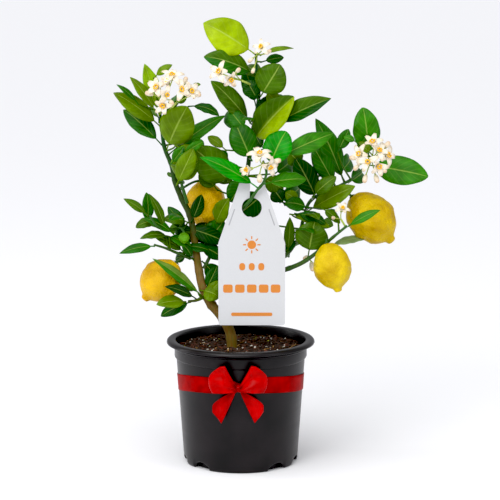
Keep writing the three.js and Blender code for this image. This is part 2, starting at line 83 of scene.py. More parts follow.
# %% Colour and node helpers
def linear(hex_colour):
    shares = [int(hex_colour[i:i + 2], 16) / 255 for i in (1, 3, 5)]
    return (*[c / 12.92 if c < 0.04045 else ((c + 0.055) / 1.055) ** 2.4 for c in shares], 1)


def node(material, kind, settings):
    """Adds a node. A setting is an input's name or number with a value or with another node's
    output, a property of the node, or a colour ramp's stops."""
    made = material.node_tree.nodes.new(kind)
    for key, value in settings.items():
        if isinstance(value, bpy.types.NodeSocket):
            material.node_tree.links.new(value, made.inputs[key])
        elif key == "stops":
            ramp_stops = made.color_ramp.elements
            while len(ramp_stops) < len(value):
                ramp_stops.new(0.5)
            for stop, (place, colour) in zip(ramp_stops, value):
                stop.position, stop.color = place, linear(colour)
        elif isinstance(key, str) and hasattr(made, key):
            setattr(made, key, value)
        else:
            made.inputs[key].default_value = value
    return made


def surface(name, colour, roughness, **sockets):
    """A new material and its main shader, with constant values on the shader's own sockets."""
    material = bpy.data.materials.new(name)
    material.use_nodes = True
    shader = material.node_tree.nodes["Principled BSDF"]
    shader.inputs["Base Color"].default_value = linear(colour)
    shader.inputs["Roughness"].default_value = roughness
    for socket, value in sockets.items():
        shader.inputs[socket.replace("_", " ")].default_value = value
    return material, shader


def finish_with(material, shader, colour, height, depth_mm, strength):
    """Joins a pattern's colour, and a pattern's height as a bump of a real depth, to the shader."""
    material.node_tree.links.new(colour, shader.inputs["Base Color"])
    bump = node(material, "ShaderNodeBump",
                {"Strength": strength, "Distance": depth_mm * MM, "Height": height})
    material.node_tree.links.new(bump.outputs["Normal"], shader.inputs["Normal"])
    return material


def per_metre(size_mm):
    """A pattern's scale, so that one repeat is about that many millimetres."""
    return 1 / (size_mm * MM)

# %% [markdown]
# ## Steps that most materials share
# Nearly every surface here is a noise of a real size, a colour ramp that reads it, and a little
# arithmetic. Named steps keep each material to a few lines, and keep pattern sizes in millimetres.

# %% Shared steps
def object_place(material):
    """Where a point lies on the object, in metres."""
    return node(material, "ShaderNodeTexCoord", {}).outputs["Object"]


def blade_map(material):
    """A piece's own UV map: its share along, and its place across."""
    return node(material, "ShaderNodeUVMap", {"uv_map": "blade"}).outputs["UV"]


def own_tone(material):
    """The colour that a piece carries in its points."""
    return node(material, "ShaderNodeAttribute", {"attribute_name": "tone"}).outputs["Color"]


def cloudy(material, size_mm, detail, place):
    """A noise with lumps of about that many millimetres."""
    return node(material, "ShaderNodeTexNoise",
                {"Scale": per_metre(size_mm), "Detail": detail, "Vector": place}).outputs["Fac"]


def ramp(material, stops, share):
    return node(material, "ShaderNodeValToRGB", {"stops": stops, "Fac": share}).outputs["Color"]


def maths(material, operation, *terms):
    """One sum; each term is a number or a node's output."""
    settings = {"operation": operation, **dict(enumerate(terms))}
    return node(material, "ShaderNodeMath", settings).outputs["Value"]


def blend(material, kind, share, first, second):
    """Two colours blended; the share and the colours are values or nodes' outputs."""
    return node(material, "ShaderNodeMixRGB",
                {"blend_type": kind, "Fac": share, "Color1": first, "Color2": second}).outputs["Color"]

# %% [markdown]
# ## Moulded polypropylene
# Nursery pots are blow-moulded or injection-moulded from recycled polypropylene. It is black with a
# grey bloom, half glossy, with a fine spark-eroded grain of about half a millimetre and faint
# flow marks that run round the pot. The grain is drawn at 0.9 mm so that it shows.

# %% Pot plastic
pot_plastic, shader = surface("moulded_polypropylene", "#0C0C0E", 0.36, IOR=1.49, Specular_IOR_Level=0.29)
place = object_place(pot_plastic)
flat_rings = node(pot_plastic, "ShaderNodeMapping", {"Scale": (0.05, 0.05, 1), "Vector": place})
flow = cloudy(pot_plastic, 6, 4, flat_rings.outputs["Vector"])
grain = cloudy(pot_plastic, 0.9, 2, place)
tint = ramp(pot_plastic, [(0.3, "#090708"), (0.7, "#1A1517")], cloudy(pot_plastic, 40, 3, place))
shine = node(pot_plastic, "ShaderNodeMapRange", {"To Min": 0.26, "To Max": 0.4, "Value": flow})
pot_plastic.node_tree.links.new(shine.outputs["Result"], shader.inputs["Roughness"])
finish_with(pot_plastic, shader, tint, maths(pot_plastic, "ADD", grain, flow), 0.08, 0.6)

# %% [markdown]
# ## Potting soil, bark chips and perlite
# Potting soil is composted bark and peat: dark, matt crumbs from a millimetre to a centimetre, with
# red-brown chips on top and white grains of perlite. The ground is one bumped surface; the chips and
# grains are separate low-polygon stones, because their edges catch light that a bump can't.

# %% Soil materials
def earth(name, dark, light, size_mm, depth_mm):
    material, shader = surface(name, light, 0.92)
    crumb = cloudy(material, size_mm, 6, object_place(material))
    tint = ramp(material, [(0.35, dark), (0.68, light)], crumb)
    return finish_with(material, shader, tint, crumb, depth_mm, 0.9)


peat = earth("composted_peat", "#0A0503", "#3E2716", 3.5, 1.2)
dark_chip = earth("composted_bark_dark", "#120A06", "#452C1B", 4, 0.5)
red_chip = earth("composted_bark_red", "#35190E", "#6F3F2A", 3, 0.4)
tan_chip = earth("dry_wood_fibre", "#7A5428", "#C79A58", 3, 0.4)
perlite = earth("expanded_perlite", "#B9B4A8", "#F2EFE6", 1.5, 0.3)
green_fleck = earth("fresh_leaf_fleck", "#8A8A18", "#D8C83A", 3, 0.2)

# %% [markdown]
# ## Bark and green stems
# Young citrus wood is green; from the pot up it turns to a thin grey-tan bark with fine cracks along
# the stem. The colour reads the height above the soil through a noise, so the change is ragged, and
# the cracks are a noise squeezed to a tenth of its length along the stem.

# %% Stem materials
def stem(name, stops, low_mm, high_mm, depth_mm, roughness):
    """Stems change colour with height, from the first stop to the last."""
    material, shader = surface(name, stops[-1][1], roughness)
    place = object_place(material)
    height = node(material, "ShaderNodeSeparateXYZ", {0: place}).outputs["Z"]
    rise = node(material, "ShaderNodeMapRange",
                {"From Min": low_mm * MM, "From Max": high_mm * MM, "To Min": -0.2, "To Max": 0.8,
                 "clamp": False, "Value": height}).outputs["Result"]
    ragged = maths(material, "MULTIPLY_ADD", cloudy(material, 14, 3, place), 0.4, rise)
    along = node(material, "ShaderNodeMapping", {"Scale": (1, 1, 0.12), "Vector": place})
    crack = node(material, "ShaderNodeTexNoise",
                 {"Scale": per_metre(1.6), "Detail": 5, "Vector": along.outputs["Vector"]})
    worn = blend(material, "MULTIPLY", 0.7, ramp(material, stops, ragged), crack.outputs["Color"])
    lift = node(material, "ShaderNodeBrightContrast", {"Bright": 0.05, "Contrast": 0.15, "Color": worn})
    return finish_with(material, shader, lift.outputs["Color"], crack.outputs["Fac"], depth_mm, 0.8)


BARK_STOPS = [(0, "#7C6534"), (0.35, "#8E7444"), (0.6, "#4E5A1C"), (1, "#335E12")]
TWIG_STOPS = [(0, "#6C7430"), (0.4, "#47681A"), (1, "#417A16")]
old_bark = stem("young_citrus_bark", BARK_STOPS, 150, 420, 0.5, 0.8)
green_bark = stem("green_citrus_twig", TWIG_STOPS, 160, 420, 0.2, 0.5)

# %% [markdown]
# ## Citrus leaf
# A lemon leaf is a leathery blade with a waxy, glossy face and a paler, matt back. A pale midrib
# runs down the middle and about seven side veins leave it at a slant. Every leaf carries its own tone
# as an attribute, and a UV map that runs from its stalk to its tip and from margin to margin, so
# one material serves young lime leaves and old dark ones, and the veins follow each blade.

# %% Leaf materials
SIDE_VEINS = 7
VEIN_SLANT = 0.32
# A wave pattern of scale 1 repeats about every 0.31 of its unit.
WAVES_PER_UNIT = 3.18


def leaf(name, roughness, gloss, bleach_share):
    material, shader = surface(name, "#4C8A14", roughness, Specular_IOR_Level=gloss)
    place = object_place(material)
    split = node(material, "ShaderNodeSeparateXYZ", {0: blade_map(material)})
    off_centre = maths(material, "ABSOLUTE", split.outputs["Y"])
    slanted = maths(material, "MULTIPLY_ADD", off_centre, -VEIN_SLANT, split.outputs["X"])
    across_veins = node(material, "ShaderNodeCombineXYZ", {"X": slanted}).outputs["Vector"]
    veins = node(material, "ShaderNodeTexWave",
                 {"bands_direction": "X", "wave_profile": "SIN", "Scale": SIDE_VEINS / WAVES_PER_UNIT,
                  "Vector": across_veins}).outputs["Fac"]
    rib = node(material, "ShaderNodeMapRange",
               {"From Min": 0.02, "From Max": 0.07, "To Min": 1, "To Max": 0, "Value": off_centre})
    lines = maths(material, "MULTIPLY_ADD", maths(material, "POWER", veins, 14), 0.16, rib.outputs["Result"])
    shade = ramp(material, [(0.35, "#B4B4A6"), (0.65, "#FFFFFF")], cloudy(material, 15, 3, place))
    own = blend(material, "MULTIPLY", 0.6, own_tone(material), shade)
    faded = blend(material, "MIX", bleach_share, own, linear("#84A040"))
    vein = blend(material, "MIX", 0.45, faded, linear("#C0D864"))
    veined = node(material, "ShaderNodeMath", {"operation": "MULTIPLY", "use_clamp": True, 0: lines, 1: 0.75})
    painted = blend(material, "MIX", veined.outputs["Value"], faded, vein)
    sunk = maths(material, "MULTIPLY_ADD", lines, -1.6, cloudy(material, 1.8, 3, place))
    return finish_with(material, shader, painted, sunk, 0.5, 0.6)


leaf_face = leaf("citrus_leaf_waxy_face", 0.33, 0.14, 0)
leaf_back = leaf("citrus_leaf_matt_back", 0.6, 0.06, 0.25)

# %% [markdown]
# ## Lemon rind
# Rind is a waxy skin with oil glands about 1.5 mm apart, each a small pit. A Voronoi pattern gives
# one round cell to each gland. The colour wanders between yolk yellow and a pale lemon over a
# centimetre or two, and each fruit adds its own tone.

# %% Rind material
rind, shader = surface("waxy_citrus_rind", "#F0C81E", 0.42, IOR=1.46, Specular_IOR_Level=0.2)
place = object_place(rind)
shade = ramp(rind, [(0.3, "#CBB684"), (0.65, "#FFFFFF")], cloudy(rind, 22, 3, place))
glands = node(rind, "ShaderNodeTexVoronoi",
              {"Scale": per_metre(1.9), "Randomness": 0.9, "Vector": place}).outputs["Distance"]
pits = node(rind, "ShaderNodeMapRange", {"From Max": 0.45, "To Min": 0.82, "To Max": 1, "Value": glands})
own = blend(rind, "MULTIPLY", 0.75, own_tone(rind), shade)
pitted = blend(rind, "MULTIPLY", 0.5, own, pits.outputs["Result"])
relief = maths(rind, "MULTIPLY_ADD", cloudy(rind, 6, 2, place), 2.6, glands)
finish_with(rind, shader, pitted, relief, 0.9, 0.8)

# %% [markdown]
# ## Petals, stamens and buds
# Citrus petals are thick, white and slightly waxy, with a pink-purple flush on the outside of buds
# and at the tips. Anthers are yellow with pollen; filaments are white.

# %% Blossom materials
def flower_part(name, stops, roughness, size_mm=3):
    """Colours run from the base of the part to its tip, along its UV map, and wander a little."""
    material, shader = surface(name, stops[0][1], roughness)
    along = node(material, "ShaderNodeSeparateXYZ", {0: blade_map(material)}).outputs["X"]
    wander = cloudy(material, size_mm, 3, object_place(material))
    tint = ramp(material, stops, maths(material, "MULTIPLY_ADD", wander, 0.3, along))
    return finish_with(material, shader, tint, wander, 0.2, 0.4)


PETAL_STOPS = [(0.1, "#DCD8A0"), (0.35, "#F2E8D2"), (0.8, "#F4ECDC"), (1, "#E8D8BE")]
petal = flower_part("waxy_petal", PETAL_STOPS, 0.5)
bud_skin = flower_part("closed_bud", [(0.1, "#E2DCB4"), (0.7, "#F0E2CC"), (1, "#DCC0A0")], 0.5)
pollen = flower_part("pollen_anther", [(0.2, "#E8A200"), (0.9, "#F8C41E")], 0.8, 0.6)
filament = flower_part("stamen_filament", [(0.2, "#F4F2DC"), (0.9, "#FFFDF2")], 0.55)
calyx = flower_part("green_calyx", [(0.2, "#8FA83A"), (0.9, "#B8C85A")], 0.55)

# %% [markdown]
# ## Coated card and print
# The tag is a white plastic-coated card of about 0.4 mm. Its print is plain care symbols in orange
# ink, raised a tenth of a millimetre so that it is a real shape and not a picture.

# %% Card and ink
def sheet_stock(name, light, dark, roughness):
    material, shader = surface(name, light, roughness)
    pulp = cloudy(material, 1.2, 4, object_place(material))
    tint = ramp(material, [(0.3, dark), (0.7, light)], pulp)
    return finish_with(material, shader, tint, pulp, 0.03, 0.15)


# The card is white. Its light grey tone is painted shade, for an upright face that gets less of the light
# from above.
tag_card = sheet_stock("plastic_coated_card", "#C9CACC", "#C5C6C8", 0.4)
orange_ink = sheet_stock("orange_ink", "#D0802C", "#C87624", 0.45)
grey_ink = sheet_stock("grey_ink", "#A9A9AC", "#98989C", 0.5)

# %% [markdown]
# ## Satin
# Ribbon satin is polyester with long floating threads: smooth, deep red, with a bright gloss along
# the folds. The threads are 0.2 mm apart in the real cloth and are drawn at 0.8 mm, across the UV
# map, as a fine bump. The band round the pot is a rougher, darker copy of the bow's satin. Its
# darker red is painted shade, as the band takes the light from the side.

# %% Satin material
def satin_cloth(name, dark, light, roughness, gloss):
    material, shader = surface(name, light, roughness, Specular_IOR_Level=gloss)
    threads = node(material, "ShaderNodeTexWave",
                   {"bands_direction": "Y", "Scale": 8, "Distortion": 0.6, "Vector": blade_map(material)})
    crush = cloudy(material, 12, 1, object_place(material))
    relief = maths(material, "MULTIPLY_ADD", threads.outputs["Fac"], 0.12, crush)
    tint = ramp(material, [(0.3, dark), (0.7, light)], crush)
    return finish_with(material, shader, tint, relief, 0.5, 0.35)


satin = satin_cloth("polyester_satin_face", "#9A0202", "#BE0404", 0.32, 0.12)
# The band's satin is rougher than the bow's, and its darker red is painted shade.
shaded_band_satin = satin_cloth("polyester_satin_matt_painted_shade", "#880202", "#A60202", 0.45, 0.05)

# %% [markdown]
# ## Making pieces
# Every piece starts as a bmesh that carries a UV map and a tone, and ends as an object at the
# origin that rides on the frame. A turned piece is a profile spun a full turn. A thin piece such as
# a leaf, a petal or a ribbon starts as a flat slab, made by extruding a grid, whose points are then
# moved to a place that a function gives for a share along, a share across and a face.

# %% Mesh helpers
# Points closer than this are merged.
WELD = 0.002 * MM


def start():
    bm = bmesh.new()
    bm.loops.layers.uv.new("blade")
    bm.verts.layers.float_color.new("tone")
    return bm


def finish_piece(bm, name, materials, nodes=(), sharp=None):
    """Turns a bmesh into an object that rides on the frame and stands for CAD nodes."""
    bmesh.ops.recalc_face_normals(bm, faces=bm.faces)
    for face in bm.faces:
        face.smooth = True
    mesh = bpy.data.meshes.new(name)
    bm.to_mesh(mesh)
    bm.free()
    for material in materials:
        mesh.materials.append(material)
    if sharp is not None:
        mesh.set_sharp_from_angle(angle=math.radians(sharp))
    piece = bpy.data.objects.new(name, mesh)
    bpy.context.scene.collection.objects.link(piece)
    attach(piece, "root")
    if nodes:
        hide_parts(*nodes)
    return piece


def turned(bm, profile, steps):
    """Spins a profile of (radius, height) pairs, in metres, a full turn about the upright axis."""
    points = [bm.verts.new((radius, 0, height)) for radius, height in profile]
    line = [bm.edges.new(pair) for pair in zip(points, points[1:])]
    bmesh.ops.spin(bm, geom=points + line, cent=(0, 0, 0), axis=UP, dvec=(0, 0, 0),
                   angle=2 * math.pi, steps=steps, use_merge=True, use_duplicate=False)
    bmesh.ops.remove_doubles(bm, verts=bm.verts, dist=WELD)


def slab(bm, shape, along, across, colour=(1, 1, 1, 1), back=0):
    """A thin closed slab. shape(u, v, side) places a point: u is 0 to 1 along, v is -1 to 1 across,
    and side is 0 on the face and -1 on the back. The back and the rim take material number back."""
    uv, tone = bm.loops.layers.uv["blade"], bm.verts.layers.float_color["tone"]
    before = len(bm.faces)
    bmesh.ops.create_grid(bm, x_segments=along, y_segments=across, size=1)
    bm.faces.ensure_lookup_table()
    faces = bm.faces[before:]
    grown = bmesh.ops.extrude_face_region(bm, geom=faces, use_keep_orig=True)
    low = [g for g in grown["geom"] if isinstance(g, bmesh.types.BMVert)]
    bmesh.ops.translate(bm, verts=low, vec=(0, 0, -1))
    bm.faces.ensure_lookup_table()
    faces = bm.faces[before:]
    bmesh.ops.recalc_face_normals(bm, faces=faces)
    corners = []
    for face in faces:
        face.normal_update()
        face.material_index = 0 if face.normal.z > 0.5 else back
        for loop in face.loops:
            loop[uv].uv = ((loop.vert.co.x + 1) / 2, loop.vert.co.y)
            corners.append(loop.vert)
    for vert in dict.fromkeys(corners):
        u, v = (vert.co.x + 1) / 2, vert.co.y
        vert[tone] = colour(u, v) if callable(colour) else colour
        vert.co = shape(u, v, vert.co.z)


def tube(bm, centres, radii, sides=8, colour=(1, 1, 1, 1), material=0):
    """A closed round stem through the centres, grown ring by ring from its foot."""
    uv, tone = bm.loops.layers.uv["blade"], bm.verts.layers.float_color["tone"]
    before = len(bm.faces)
    turn = UP.rotation_difference(centres[1] - centres[0])
    rings = []
    for i, centre in enumerate(centres):
        ahead = centres[min(i + 1, len(centres) - 1)] - centres[max(i - 1, 0)]
        turn = (turn @ UP).rotation_difference(ahead) @ turn
        place = Matrix.LocRotScale(centre, turn, Vector((1, 1, 1)) * radii[i])
        if not rings:
            verts = bmesh.ops.create_circle(bm, segments=sides, radius=1, matrix=place)["verts"]
            edges = list(dict.fromkeys(e for v in verts for e in v.link_edges))
            foot = edges
        else:
            grown = bmesh.ops.extrude_edge_only(bm, edges=edges)["geom"]
            verts = [g for g in grown if isinstance(g, bmesh.types.BMVert)]
            new = set(verts)
            edges = [g for g in grown if isinstance(g, bmesh.types.BMEdge) and set(g.verts) <= new]
            bmesh.ops.transform(bm, matrix=place @ last.inverted(), verts=verts)
        last = place
        rings.append(verts)
        for vert in verts:
            vert[tone] = colour
    bmesh.ops.edgeloop_fill(bm, edges=foot)
    bmesh.ops.edgeloop_fill(bm, edges=edges)
    bm.faces.ensure_lookup_table()
    step = {vert: i / (len(rings) - 1) for i, ring in enumerate(rings) for vert in ring}
    for face in bm.faces[before:]:
        face.material_index = material
        for loop in face.loops:
            loop[uv].uv = (step[loop.vert], 0.5)


def smooth_path(points, steps):
    """Points along a smooth curve through the given ones, evenly stepped between each pair."""
    ends = [2 * points[0] - points[1], *points, 2 * points[-1] - points[-2]]
    path = []
    for a, b, c, d in zip(ends, ends[1:], ends[2:], ends[3:]):
        for i in range(steps):
            t = i / steps
            path.append(0.5 * (2 * b + (c - a) * t + (2 * a - 5 * b + 4 * c - d) * t * t
                               + (3 * b - a - 3 * c + d) * t ** 3))
    return path + [points[-1].copy()]

# %% [markdown]
# ## Reading places from the CAD nodes
# A limb, a leaf or a lemon is a stack of rings between two poles. A pole is the one point where as
# many edges meet as the rings have sides, so a walk outwards from the far pole meets the rings one
# by one and gives each one's middle. Every new piece takes its place from there.

# %% Walk a CAD node's rings
# The points in one ring of each kind of CAD node.
LIMB_SIDES, LEAF_SIDES, FRUIT_SIDES, BLOSSOM_SIDES = 8, 4, 14, 20


def cad_rings(name, sides, rank, even=1.25):
    """The rings of points of a CAD node, from the pole that ranks highest. A pole's edges differ in
    length by no more than the factor even."""
    bm = bmesh.new()
    bm.from_mesh(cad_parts[name].data)
    bmesh.ops.remove_doubles(bm, verts=bm.verts, dist=WELD)
    poles = []
    for vert in bm.verts:
        spokes = sorted(e.calc_length() for e in vert.link_edges)
        if len(spokes) == sides and spokes[-1] < even * spokes[0] + 0.02 * MM:
            poles.append(vert)
    if not poles:
        poles = [v for v in bm.verts if len(v.link_edges) == sides]
    first = max(poles, key=rank)
    ring, seen, rings = [first], {first}, []
    while ring:
        rings.append([v.co.copy() for v in ring])
        ring = list(dict.fromkeys(w for v in ring for e in v.link_edges
                                  for w in [e.other_vert(v)] if w not in seen))
        seen.update(ring)
    bm.free()
    return rings


def middle(ring):
    return sum(ring, Vector()) / len(ring)


def mean_spoke(vert):
    return sum(e.calc_length() for e in vert.link_edges) / len(vert.link_edges)

# %% [markdown]
# ## The pot
# A nursery pot is one thin moulding: a tapered wall, a stepped collar, a rolled lip, and a foot with
# arched drain notches in pairs. It is a profile spun round. The foot's ring of points then rises
# into the notches, which keeps the mesh closed; a boolean cut would leave ragged faces.

# %% Spin the pot
pot_low, pot_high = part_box("nursery_pot")
RIM_RADIUS = pot_high.x / MM
POT_HEIGHT = pot_high.z / MM
LIP_HEIGHT, LIP_OVERHANG = 9, 10
COLLAR_HEIGHT, COLLAR_STEP = 15, 2.5
POT_TAPER, POT_WALL = 9.5, 2.2
COLLAR_RADIUS = RIM_RADIUS - LIP_OVERHANG
BODY_TOP = POT_HEIGHT - LIP_HEIGHT - COLLAR_HEIGHT
FOOT_DEPTH = 9
NOTCH_PAIRS, NOTCH_SPLIT, NOTCH_TURN = 3, 36, 62
NOTCH_WIDTH, NOTCH_HEIGHT, NOTCH_REACH = 27, 9, 12
POT_STEPS = 240


def body_radius(z):
    """The outer radius of the pot's wall, in millimetres, at a height in millimetres."""
    return COLLAR_RADIUS - COLLAR_STEP - POT_TAPER * (1 - z / BODY_TOP)


def lip_profile():
    """The pot's profile in millimetres, from the middle of its underside round to its floor."""
    base, foot = POT_HEIGHT - LIP_HEIGHT, body_radius(0)
    wall = [(body_radius(z), z) for z in (4, 12, 40, 80, 110, BODY_TOP)]
    collar = [(COLLAR_RADIUS - 0.8, BODY_TOP + 1), (COLLAR_RADIUS, BODY_TOP + 2.5),
              (COLLAR_RADIUS, base - 1.5), (COLLAR_RADIUS + 0.8, base - 0.8),
              (COLLAR_RADIUS + 2.8, base - 0.2), (COLLAR_RADIUS + 3.6, base + 1),
              (COLLAR_RADIUS + 3, base + 2.4), (COLLAR_RADIUS + 4.5, base + 3.2)]
    lip = [(RIM_RADIUS - 2.2, base + 3.4), (RIM_RADIUS - 0.6, base + 3.9), (RIM_RADIUS, base + 5),
           (RIM_RADIUS - 0.4, base + 6.8), (RIM_RADIUS - 1.6, base + 8.2), (RIM_RADIUS - 3.6, POT_HEIGHT),
           (COLLAR_RADIUS + 1.5, POT_HEIGHT), (COLLAR_RADIUS - 1.2, POT_HEIGHT - 1),
           (COLLAR_RADIUS - POT_WALL, POT_HEIGHT - 3.5), (COLLAR_RADIUS - POT_WALL, BODY_TOP + 1.5)]
    inside = [(body_radius(BODY_TOP) - POT_WALL, BODY_TOP), (body_radius(0) - POT_WALL, 12.5),
              (body_radius(0) - FOOT_DEPTH - 3, 12.5), (0, 2.6)]
    under = [(0, 0), (foot - FOOT_DEPTH - 0.5, 0), (foot - FOOT_DEPTH, 0.3), (foot - 3, 0),
             (foot - 1, 0.8), (foot, 3)]
    return under + wall + collar + lip + inside


bm = start()
turned(bm, [(r * MM, z * MM) for r, z in lip_profile()], POT_STEPS)
for vert in bm.verts:
    radius, z = math.hypot(vert.co.x, vert.co.y) / MM, vert.co.z / MM
    if z < NOTCH_REACH and radius > body_radius(0) - FOOT_DEPTH - 0.2:
        turn = math.degrees(math.atan2(vert.co.x, -vert.co.y)) + NOTCH_TURN
        pitch = 360 / NOTCH_PAIRS
        off_pair = abs((turn + pitch / 2) % pitch - pitch / 2)
        away = math.radians(off_pair - NOTCH_SPLIT / 2) * radius / (NOTCH_WIDTH / 2)
        arch = NOTCH_HEIGHT * math.sqrt(max(0, 1 - away * away))
        vert.co.z = (z + arch * (1 - z / NOTCH_REACH)) * MM
pot = finish_piece(bm, "pot_shell", [pot_plastic], ["nursery_pot"], sharp=40)
print("pot faces", len(pot.data.polygons))

# %% [markdown]
# ## The soil
# The soil's top is a low mound. Its profile has many rows near the surface, and a fractal noise
# lifts each point, coarse lumps first and crumbs after. A bump alone would leave its edge against
# the pot a smooth line.

# %% Soil ground
soil_low, soil_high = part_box("potting_soil")
SOIL_RADIUS = soil_high.x
SOIL_EDGE = 149 * MM
SOIL_MOUND = soil_high.z - SOIL_EDGE
SOIL_ROWS, SOIL_STEPS = 56, 200
SOIL_SIDE, SOIL_FOOT, SOIL_TAPER = 120 * MM, 18 * MM, 8 * MM


def soil_height(x, y):
    """The height of the soil's surface above a place, in metres."""
    share = min(1, math.hypot(x, y) / SOIL_RADIUS)
    lumps = noise.fractal(Vector((x, y, 0)) * per_metre(17), 0.8, 2.1, 5)
    return SOIL_EDGE + SOIL_MOUND * (1 - share) ** 0.8 - 1 * MM + 1.7 * MM * lumps


bm = start()
rows = [(SOIL_RADIUS * i / SOIL_ROWS, SOIL_EDGE) for i in range(SOIL_ROWS + 1)]
side = [(SOIL_RADIUS, SOIL_SIDE), (SOIL_RADIUS - SOIL_TAPER, SOIL_FOOT), (0, SOIL_FOOT)]
turned(bm, rows + side, SOIL_STEPS)
for vert in bm.verts:
    if vert.co.z > SOIL_EDGE - 1 * MM:
        vert.co.z = soil_height(vert.co.x, vert.co.y)
finish_piece(bm, "soil_ground", [peat], ["potting_soil"])

# %% [markdown]
# ## Chips, fibres and perlite
# Loose pieces lie on the soil. Each is an icosphere of twenty faces, squashed and turned at random
# with a fixed seed. Copies of one stone would be lighter, but all of them would look alike.

# %% Chips and perlite on the soil
def scatter(name, material, count, sizes_mm, seed):
    """Lays stones on the soil, each squashed by its own three sizes and turned at random."""
    draw = random.Random(seed)
    bm = start()
    for _ in range(count):
        radius = SOIL_RADIUS * math.sqrt(draw.random()) * 0.985
        turn = draw.uniform(0, 2 * math.pi)
        x, y = radius * math.cos(turn), radius * math.sin(turn)
        scale = Vector([draw.uniform(low, high) / 2 * MM for low, high in sizes_mm])
        tilt = (Matrix.Rotation(draw.uniform(-0.5, 0.5), 4, "X")
                @ Matrix.Rotation(draw.uniform(-0.5, 0.5), 4, "Y"))
        spin = Matrix.Rotation(draw.uniform(0, 2 * math.pi), 4, "Z")
        place = (Matrix.Translation((x, y, soil_height(x, y) + scale.z * 0.4)) @ spin @ tilt
                 @ Matrix.Diagonal((*scale, 1)))
        stone = bmesh.ops.create_icosphere(bm, subdivisions=1, radius=1, matrix=place)["verts"]
        for vert in stone:
            vert.co += Vector([draw.uniform(-0.18, 0.18) * scale[i] for i in range(3)])
    piece = finish_piece(bm, name, [material])
    for face in piece.data.polygons:
        face.use_smooth = False
    print(name, "faces", len(piece.data.polygons))


scatter("soil_dark_chips", dark_chip, 620, [(4, 11), (3, 6), (1.5, 4)], 11)
scatter("soil_red_chips", red_chip, 190, [(5, 14), (2.5, 6), (1.2, 3)], 12)
scatter("soil_fibres", tan_chip, 80, [(6, 16), (0.8, 1.8), (0.6, 1.4)], 13)
scatter("soil_perlite", perlite, 110, [(1.6, 3.8), (1.6, 3.4), (1.4, 2.6)], 14)
scatter("soil_green_flecks", green_fleck, 44, [(4, 9), (1.4, 3), (0.4, 0.9)], 15)

# %% [markdown]
# ## Trunk and twigs
# Each CAD limb gives its middle line ring by ring from its far end; the last rings by its bearer are
# cut by the seat, so the walk stops at the first uneven ring and the stem runs on inside the bearer,
# as a real branch does. The new stem is finer: it swells at nodes and wanders a little.

# %% Grow the limbs
LIMBS = {
    "trunk": (7.5, 1.8, "bark"), "centre_limb": (4.6, 1.5, "bark"), "right_limb": (4.4, 1.5, "green_stem"),
    "right_high_limb": (2.8, 1.4, "green_stem"), "tag_twig": (2.6, 1.4, "green_stem"),
    "left_stem": (2.2, 1.3, "green_stem"), "low_left_twig": (2.2, 1.4, "green_stem"),
    "mid_left_twig": (2.2, 1.3, "green_stem"), "upper_left_twig": (2.2, 1.3, "green_stem"),
    "inner_twig": (2.4, 1.4, "green_stem"),
}
NODE_SPACING = 24 * MM
SEAT_DEPTH = 7 * MM
limb_lines = []


def limb_line(name):
    """A limb's middle line, from its bearer to its tip, from the whole rings of its CAD node."""
    rings = cad_rings(name, LIMB_SIDES, lambda vert: vert.co.z - 100 * mean_spoke(vert))
    line = [rings[0][0]]
    for ring in rings[1:]:
        centre = middle(ring)
        spans = [(p - centre).length for p in ring]
        if len(ring) != LIMB_SIDES or max(spans) > 1.5 * min(spans):
            break
        line.append(centre)
    line.reverse()
    if name != "trunk":
        line.insert(0, line[0] + (line[0] - line[1]).normalized() * SEAT_DEPTH)
    return line


for name, (foot, tip, slot) in LIMBS.items():
    line = smooth_path(limb_line(name), 6)
    length = sum((b - a).length for a, b in zip(line, line[1:]))
    draw = random.Random(name)
    radii, walked, phase = [], 0, draw.random()
    for i, place in enumerate(line):
        walked += (place - line[i - 1]).length if i else 0
        beat = (walked / NODE_SPACING + phase) % 1
        swell = 0.16 * math.exp(-((beat - 0.5) / 0.09) ** 2)
        rough = 0.05 * noise.noise(place * per_metre(9))
        radii.append((foot + (tip - foot) * walked / length) * MM * (1 + swell + rough))
    bm = start()
    tube(bm, line, radii, 16)
    finish_piece(bm, f"{name}_bark", [old_bark if slot == "bark" else green_bark], [name])
    limb_lines.append(line)
    print(name, "length mm", round(length / MM), "points", len(line))

# %% [markdown]
# ## Leaves
# A leaf has a petiole and a pointed blade, folded a little along the midrib, arched, with a wavy
# margin. One function grows a leaf from its foot to its tip. The CAD leaves give their feet, tips,
# widths and facings; smaller leaves between them are listed with places in millimetres. A leaf that
# starts off a stem gets a short twig to the nearest one.

# %% One leaf
LEAF_THICKNESS = 0.45 * MM
PETIOLE_RADIUS = 0.85 * MM


def blade_width(u, bluntness):
    """The half width of a blade, as a share of its widest, from the petiole to the tip."""
    return max(0.01, math.sin(math.pi * u ** 0.92)) ** bluntness * (1 - 0.08 * u)


